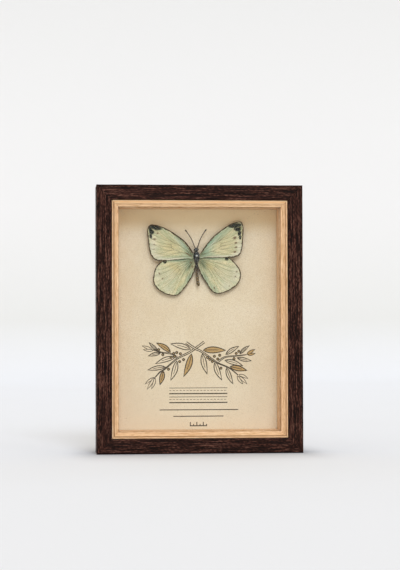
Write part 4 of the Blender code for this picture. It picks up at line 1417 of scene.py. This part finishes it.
tone = glaze(tree, tone, edge_gap, -0.1, 0.1, 0.98, 58, 36, 16)
coat(tree, shader, Base_Color=tone, Roughness=spread(tree, fray, 0.3, 0.7, 0.55, 0.8),
     Specular_IOR_Level=0.12, Sheen_Weight=0.05, Sheen_Roughness=0.4)
relief = sum_of(tree, scaled(tree, hairlines, 1.0), scaled(tree, fray, 0.5))
bump(tree, shader, relief, 0.06 * MM)

for name in WING_OUTLINES:
    finish(make_membrane(name, wing_scales), "wing_scales", name)

# %% [markdown]
# ## Veins, feelers and legs
#
# Wing veins are thin tubes that taper from the root to the rim, and so do the feelers and the
# legs, except that a feeler ends in a club. One Geometry Nodes tree makes them all: it gives each
# curve a radius that falls from one end to the other, swells it near the end where a club is
# asked for, and sweeps a circle along it.


# %% A rule for tapered tubes
def make_tube_rule():
    rule, given = new_rule("tapered_tubes", "Root Radius", "Tip Radius", "Club Radius",
                           "Club Share", counts=("Sides",))
    factor = add(rule, "GeometryNodeSplineParameter").outputs["Factor"]
    taper = spread(rule, factor, 0.0, 1.0, given["Root Radius"], given["Tip Radius"])

    # The club is half an ellipse round a middle near the tube's end.
    half_share = scaled(rule, given["Club Share"], 0.5)
    club_middle = sum_of(rule, 1.0, half_share, "SUBTRACT")
    from_middle = sum_of(rule, factor, club_middle, "SUBTRACT")
    club_place = sum_of(rule, from_middle, half_share, "DIVIDE")
    club_square = scaled(rule, club_place, club_place)
    club_left = sum_of(rule, sum_of(rule, 1.0, club_square, "SUBTRACT"), 0.0, "MAXIMUM")
    club_height = add(rule, "ShaderNodeMath", {0: club_left}, operation="SQRT")
    club = scaled(rule, club_height, given["Club Radius"])
    radius = sum_of(rule, taper, club, "MAXIMUM")

    ring_inputs = {"Resolution": given["Sides"], "Radius": 1.0}
    ring = add(rule, "GeometryNodeCurvePrimitiveCircle", ring_inputs).outputs["Curve"]
    tubes = add(rule, "GeometryNodeCurveToMesh", {
        "Curve": given["Geometry"], "Profile Curve": ring, "Scale": radius, "Fill Caps": True,
    })
    smooth = add(rule, "GeometryNodeSetShadeSmooth", {0: tubes})
    return end_rule(rule, smooth, given["Material"])


tube_rule = make_tube_rule()


def tubes_along(name, paths, slot, nodes, **inputs):
    """Tapered tubes along these paths, in millimetres from the thorax's middle, as one piece."""
    curve = bpy.data.curves.new(name, "CURVE")
    curve.dimensions = "3D"
    for path in paths:
        spline = curve.splines.new("POLY")
        spline.points.add(len(path) - 1)
        for point, at in zip(spline.points, path):
            point.co = (*(Vector(at) * MM), 1)
    piece = grow(name, tube_rule, place(name, curve), **inputs)
    piece.data.transform(BUTTERFLY)
    outwards(piece.data)
    sharpen(piece.data, 60)
    return finish(piece, slot, *nodes)


# %% [markdown]
# A white butterfly's forewing has a long closed cell in its front half. Veins leave the cell's
# outer end for the rim, like the ribs of a fan, and one or two run straight from the root. Each
# vein is noted by a few points on its way and the station of the outline where it ends.

# %% Veins
VEIN_ROUTES = {
    "forewing": (
        (((3.6, 2.2), (8.2, 9.2), (16.0, 16.6)), 6.2),
        (((3.4, 1.4), (8, 5.4), (14, 9.6), (22, 16.8)), 7.4),
        (((14, 9.6), (20.5, 13.2), (28, 19.4)), 8.5),
        (((20.5, 13.2), (29, 18.2), (35, 23.4)), 9.35),
        (((20.5, 13.2), (29, 15.6), (36, 19.4)), 10.4),
        (((20.5, 13.2), (22.2, 11.0), (30, 12.6), (36, 14.6)), 10.8),
        (((22.2, 11.0), (22.0, 8.8), (30, 9.6), (37, 10.6)), 11.4),
        (((22.0, 8.8), (20.0, 6.0), (29, 6.4), (36, 6.6)), 11.9),
        (((3.2, 0.5), (8, 2.2), (14, 4.2), (20, 6.0), (29, 4.0), (35, 3.0)), 12.5),
        (((14, 4.2), (22, 2.2), (30, 0.6)), 13.3),
        (((3.2, -0.2), (12, 0.0), (22, -1.0)), 14.6),
    ),
    "hindwing": (
        (((3.2, -2.4), (10, -1.6), (18, -1.8), (24, -3.2)), 4.3),
        (((3.0, -2.8), (9, -3.8), (18, -6.2), (27, -9.0)), 5.5),
        (((9, -3.8), (16.5, -7.4), (26, -12.2)), 6.3),
        (((16.5, -7.4), (16.8, -9.4), (26, -17.0)), 7.2),
        (((16.8, -9.4), (15.4, -11.8), (23, -21.5)), 8.4),
        (((3.0, -3.1), (7, -6.6), (12.6, -12.2), (19, -23)), 9.6),
        (((8.5, -8.2), (13, -17), (16.5, -25)), 10.7),
        (((2.8, -3.6), (6, -11), (10, -20)), 11.8),
        (((2.6, -4.2), (4.2, -10), (6, -15)), 13.0),
    ),
}
VEIN_END = 0.97
vein_brown, tree, shader = new_material("vein_brown")
mottle = noise(tree, (2, 2, 2), detail=2.0)
coat(tree, shader, Roughness=0.6,
     Base_Color=ramp(tree, mottle, [(0.35, 112, 108, 74), (0.65, 148, 142, 102)]))

for name in WING_OUTLINES:
    kind = name.split("_")[0]
    mirror = -1 if name.endswith("left") else 1
    vein_paths = []
    for points_on_way, end_station in VEIN_ROUTES[kind]:
        end = Vector(at_station(wing_paths[name], end_station))
        last = Vector(points_on_way[-1])
        flat = smooth_path([*points_on_way, last.lerp(end, VEIN_END)], steps=7)
        vein_paths.append([(mirror * p.x, membrane_depth(kind, p.x, p.y), p.y) for p in flat])
    tubes_along(f"{name}_veins", vein_paths, "wing_scales", [name], Sides=6,
                Root_Radius=0.2 * MM, Tip_Radius=0.11 * MM, Material=vein_brown)

# %% [markdown]
# ## Body
#
# Head, thorax and abdomen are turned like a chair leg: a profile of radii is smoothed and spun
# round the body's axis. Each ring of the abdomen swells and pulls in again at its joint, and the
# abdomen bends a little to one side. The colour changes from blue-black at the head to golden
# brown at the tail, so every point stores how far along the body it lies.

# %% Body material
insect_body, tree, shader = new_material("insect_body")
along_body = attribute(tree, "along")
down = noise(tree, (0.5, 0.5, 0.9), detail=3.0)
plates_and_glints = noise(tree, (1.6, 1.6, 1.2), detail=2.0, shift=4.0)
tone = ramp(tree, along_body, [
    (0.0, 56, 60, 54), (0.12, 22, 26, 28), (0.3, 22, 27, 33),
    (0.5, 22, 21, 19), (0.6, 76, 58, 42), (0.72, 122, 98, 56),
    (1.0, 124, 102, 58),
])
# Pale blue-grey plates: partly the body's own scales, partly painted highlight that stands for
# glints.
tone = glaze(tree, tone, plates_and_glints, 0.53, 0.62, 0.75, 138, 152, 158)
patches = noise(tree, (1.5, 1.5, 1.1), detail=2.0, shift=8.0)
tone = glaze(tree, tone, patches, 0.5, 0.6, 0.8, 30, 24, 16)
tone = blend(tree, scaled(tree, attribute(tree, "joint"), 0.9), tone, paint(34, 26, 20))
tone = glaze(tree, tone, down, 0.5, 0.72, 0.35, 158, 142, 108)
coat(tree, shader, Base_Color=tone, Roughness=spread(tree, down, 0.3, 0.7, 0.5, 0.8),
     Specular_IOR_Level=0.25)
bump(tree, shader, down, 0.08 * MM)

# %% Head, thorax and abdomen
HEAD_AND_THORAX = (
    (0.0, 7.7), (0.9, 7.4), (1.5, 6.6), (1.6, 5.7), (1.35, 4.8), (1.0, 4.2), (1.5, 3.6),
    (2.05, 2.7), (2.35, 1.4), (2.4, 0.2), (2.2, -1.0), (1.8, -2.4), (1.3, -4.0), (1.05, -5.8),
)
WAIST_Z, WAIST_RADIUS = -7.4, 1.0
ABDOMEN_END_Z, ABDOMEN_RADIUS, ABDOMEN_TIP_Z = -24.8, 1.45, -26.2
ABDOMEN_RINGS, RING_STEPS = 7, 9
JOINT_SHARE, RING_SWELL = 0.84, 0.18
ABDOMEN_BEND = 1.6
BODY_SIDES = 48
HEAD_TOP = HEAD_AND_THORAX[0][1]


def body_profile():
    """(radius, height, how near a joint) from the head's top to the tail."""
    head = [(p.x, p.y, 0.0) for p in smooth_path(HEAD_AND_THORAX, steps=5)]
    rings = []
    for ring in range(ABDOMEN_RINGS):
        for step in range(RING_STEPS):
            share = step / RING_STEPS
            along = (ring + share) / ABDOMEN_RINGS
            radius = WAIST_RADIUS + (ABDOMEN_RADIUS - WAIST_RADIUS) * along ** 0.5
            swell = JOINT_SHARE + RING_SWELL * math.sin(math.pi * share) ** 0.6
            height = WAIST_Z + (ABDOMEN_END_Z - WAIST_Z) * along
            rings.append((radius * swell, height, max(0.0, 1 - 3.2 * min(share, 1 - share))))
    turns = [math.radians(15 * step) for step in range(6)]
    tail_length = ABDOMEN_TIP_Z - ABDOMEN_END_Z
    tail = [(ABDOMEN_RADIUS * 0.86 * math.cos(a), ABDOMEN_END_Z + tail_length * math.sin(a), 0.0)
            for a in turns]
    return head + rings + tail + [(0.0, ABDOMEN_TIP_Z, 0.0)]


def spun(name, profile, sides):
    """A closed body turned round Z from (radius, height) pairs whose two ends have no radius."""
    points = [(0, 0, profile[0][1])]
    for radius, height in profile[1:-1]:
        for side in range(sides):
            angle = 2 * math.pi * side / sides
            points.append((radius * math.cos(angle), radius * math.sin(angle), height))
    points.append((0, 0, profile[-1][1]))
    last = len(points) - 1
    faces = []
    for side in range(sides):
        after = (side + 1) % sides
        faces.append((0, 1 + side, 1 + after))
        for ring in range(len(profile) - 3):
            low = 1 + ring * sides
            faces.append((low + side, low + sides + side, low + sides + after, low + after))
        low = 1 + (len(profile) - 3) * sides
        faces.append((low + side, last, low + after))
    mesh = bpy.data.meshes.new(name)
    mesh.from_pydata(points, [], faces)
    mesh.shade_smooth()
    return mesh


profile = body_profile()
body_mesh = spun("body", [(radius, height) for radius, height, _ in profile], BODY_SIDES)
heights = np.array([v.co.z for v in body_mesh.vertices])
_, profile_heights, profile_joints = zip(*reversed(profile))
store(body_mesh, "along", (HEAD_TOP - heights) / (HEAD_TOP - ABDOMEN_TIP_Z))
store(body_mesh, "joint", np.interp(heights, profile_heights, profile_joints))
for vertex in body_mesh.vertices:
    share = min(1.0, max(0.0, (WAIST_Z - vertex.co.z) / (WAIST_Z - ABDOMEN_TIP_Z)))
    vertex.co.x += ABDOMEN_BEND * (share ** 2 - 0.35 * share)
body_mesh.transform(BUTTERFLY @ Matrix.Scale(MM, 4))
body_mesh.materials.append(insect_body)
outwards(body_mesh)
body_piece = place("turned_body", body_mesh)

# %% Eyes
EYE_RADIUS = 1.05
EYE_PLACE = (1.2, -0.5, 5.9)
eye_black, tree, shader = new_material("eye_black")
facet_inputs = {"Vector": object_place(tree), "Scale": 1 / (0.12 * MM)}
facets = add(tree, "ShaderNodeTexVoronoi", facet_inputs)
coat(tree, shader, Roughness=0.3,
     Base_Color=ramp(tree, facets, [(0.0, 70, 66, 50), (0.6, 36, 32, 26)]))
bump(tree, shader, facets, 0.02 * MM)

eyes = bmesh.new()
for mirror in (-1, 1):
    middle = Matrix.Translation((mirror * EYE_PLACE[0], EYE_PLACE[1], EYE_PLACE[2]))
    bmesh.ops.create_uvsphere(eyes, u_segments=28, v_segments=18, radius=EYE_RADIUS, matrix=middle)
eye_mesh = bpy.data.meshes.new("eyes")
eyes.to_mesh(eye_mesh)
eyes.free()
eye_mesh.transform(BUTTERFLY @ Matrix.Scale(MM, 4))
eye_mesh.shade_smooth()
eye_mesh.materials.append(eye_black)
finish(place("eyes", eye_mesh), "insect_body", "butterfly_body")

# %% [markdown]
# ## Down on the thorax
#
# A butterfly's thorax is furry. Geometry Nodes scatter points over the head and the thorax with a
# fixed seed, stand a thin cone on each, and lean it over by a random angle, to any side. The
# cones have few sides, because there are hundreds of them.


# %% A rule that grows down
def make_down_rule():
    rule, given = new_rule("body_down", "Density", "Hair Length", "Hair Width", "Lowest",
                           counts=("Seed",))
    upper = sum_of(rule, coordinates(rule)["Z"], given["Lowest"], "GREATER_THAN")
    scattered = add(rule, "GeometryNodeDistributePointsOnFaces", {
        "Mesh": given["Geometry"], "Selection": upper, "Density": given["Density"],
        "Seed": given["Seed"],
    })
    hair = add(rule, "GeometryNodeMeshCone", {
        "Vertices": 4, "Radius Top": 0.0, "Radius Bottom": given["Hair Width"],
        "Depth": given["Hair Length"],
    })
    leaning = {0: (0.35, -0.5, 0.0), 1: (1.1, 0.5, 6.28), "Seed": given["Seed"]}
    turned_hair = add(rule, "FunctionNodeRandomValue", leaning, data_type="FLOAT_VECTOR")
    length_here = add(rule, "FunctionNodeRandomValue", {2: 0.5, 3: 1.1, "Seed": given["Seed"]})
    hairs = add(rule, "GeometryNodeInstanceOnPoints", {
        "Points": scattered, "Instance": hair, "Rotation": scattered.outputs["Rotation"],
        "Scale": length_here.outputs[1],
    })
    hairs = add(rule, "GeometryNodeRotateInstances", {"Instances": hairs, "Rotation": turned_hair})
    return end_rule(rule, hairs, given["Material"])


down_rule = make_down_rule()

down_grey, tree, shader = new_material("down_grey")
mix_of_hairs = noise(tree, (0.7, 0.7, 0.7), detail=1.0)
coat(tree, shader, Roughness=0.6, Base_Color=ramp(tree, mix_of_hairs, [
    (0.4, 12, 13, 14), (0.56, 38, 43, 48), (0.68, 176, 184, 186),
]))

THORAX_END = -5.5
down_piece = grow(
    "thorax_down", down_rule, place("body copy", body_mesh.copy()), Density=9.0e6,
    Hair_Length=0.75 * MM, Hair_Width=0.045 * MM, Lowest=BUTTERFLY_Z + THORAX_END * MM, Seed=5,
    Material=down_grey,
)
down_mesh = down_piece.data
for label in ("along", "joint"):
    if label in down_mesh.attributes:
        down_mesh.attributes.remove(down_mesh.attributes[label])
finish(body_piece, "insect_body", "butterfly_body")
finish(down_piece, "insect_body", "butterfly_body")

# %% [markdown]
# ## Feelers, legs and pin
#
# The feelers are dark and faintly ringed, and end in a club. The six legs are folded back behind
# the wings, as they set when a butterfly dries. The pin is stainless steel with a round head.

# %% Feelers and legs
feeler_brown, tree, shader = new_material("feeler_brown")
ring_inputs = {"Vector": object_place(tree), "Scale": 1 / (3.2 * MM), "Distortion": 0.6}
rings_on_feeler = add(tree, "ShaderNodeTexWave", ring_inputs, bands_direction="Z").outputs["Fac"]
coat(tree, shader, Roughness=0.55,
     Base_Color=ramp(tree, rings_on_feeler, [(0.2, 24, 14, 8), (0.8, 62, 42, 26)]))

ANTENNA_BASE = Vector((1.25, 0.0, 7.65))
ANTENNA_TIP = Vector((9.3, -0.9, 23.5))
ANTENNA_BOW = 1.1
ANTENNA_POINTS = 48
for side, mirror in (("left", -1), ("right", 1)):
    path = []
    for step in range(ANTENNA_POINTS):
        along = step / (ANTENNA_POINTS - 1)
        point = ANTENNA_BASE.lerp(ANTENNA_TIP, along)
        bow_here = ANTENNA_BOW * math.sin(math.pi * along)
        path.append((mirror * (point.x - bow_here), point.y, point.z))
    tubes_along(f"feeler_{side}", [path], "insect_body", [f"antenna_{side}"], Sides=12,
                Root_Radius=0.38 * MM, Tip_Radius=0.36 * MM, Club_Radius=0.6 * MM,
                Club_Share=0.15, Material=feeler_brown)

LEG_ROUTE = ((0.0, 0.0, 0.0), (2.6, 1.0, 0.6), (3.6, 1.2, -2.4), (4.6, 1.3, -4.2))
LEG_HIP = (1.0, 1.5)
LEG_ROWS = (1.0, -0.6, -2.2)
leg_paths = []
for mirror in (-1, 1):
    for hip_z in LEG_ROWS:
        hip = Vector((mirror * LEG_HIP[0], LEG_HIP[1], hip_z))
        leg_paths.append(smooth_path([hip + Vector((mirror * x, y, z)) for x, y, z in LEG_ROUTE]))
tubes_along("legs", leg_paths, "insect_body", ["butterfly_body"], Sides=8,
            Root_Radius=0.24 * MM, Tip_Radius=0.1 * MM, Material=feeler_brown)

# %% Pin
pin_steel, tree, shader = new_material("pin_steel")
drawn_marks = noise(tree, (0.2, 2, 0.2), detail=2.0)
coat(tree, shader, Metallic=1.0, Roughness=spread(tree, drawn_marks, 0.3, 0.7, 0.5, 0.62),
     Base_Color=ramp(tree, drawn_marks, [(0.3, 190, 200, 208), (0.7, 214, 222, 228)]))
bump(tree, shader, drawn_marks, 0.01 * MM)

PIN_RADIUS, PIN_HEAD_RADIUS = 0.3, 0.95
PIN_HEAD_FRONT, PIN_TIP, PIN_POINT = -4.95, 6.2, 1.2
head_middle = -PIN_HEAD_FRONT - PIN_HEAD_RADIUS
head_turns = [math.radians(90 - 10.5 * step) for step in range(16)]
pin_profile = [(PIN_HEAD_RADIUS * math.cos(a), head_middle + PIN_HEAD_RADIUS * math.sin(a))
               for a in head_turns]
pin_profile[0] = (0.0, head_middle + PIN_HEAD_RADIUS)
pin_profile += [(PIN_RADIUS, head_middle - PIN_HEAD_RADIUS), (PIN_RADIUS, -PIN_TIP + PIN_POINT),
                (0.0, -PIN_TIP)]
pin_mesh = spun("pin", pin_profile, 32)
pin_mesh.transform(
    BUTTERFLY @ Matrix.Scale(MM, 4) @ Matrix.Translation((0, 0, PIN_Z))
    @ Matrix.Rotation(math.radians(90), 4, "X")
)
pin_mesh.materials.append(pin_steel)
outwards(pin_mesh)
sharpen(pin_mesh, 50)
finish(place("insect_pin", pin_mesh), "pin_steel", "pin")

# %% [markdown]
# ## Sizes at the end
#
# The dressed model has to keep the size of the solid one, so both boxes are printed.

# %% Sizes and the last line
dressed_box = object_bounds()
for label, (low, high) in (("solid", SOLID_BOX), ("dressed", dressed_box)):
    print(label, "box:", [round(v / MM, 2) for v in low], [round(v / MM, 2) for v in high], "mm")
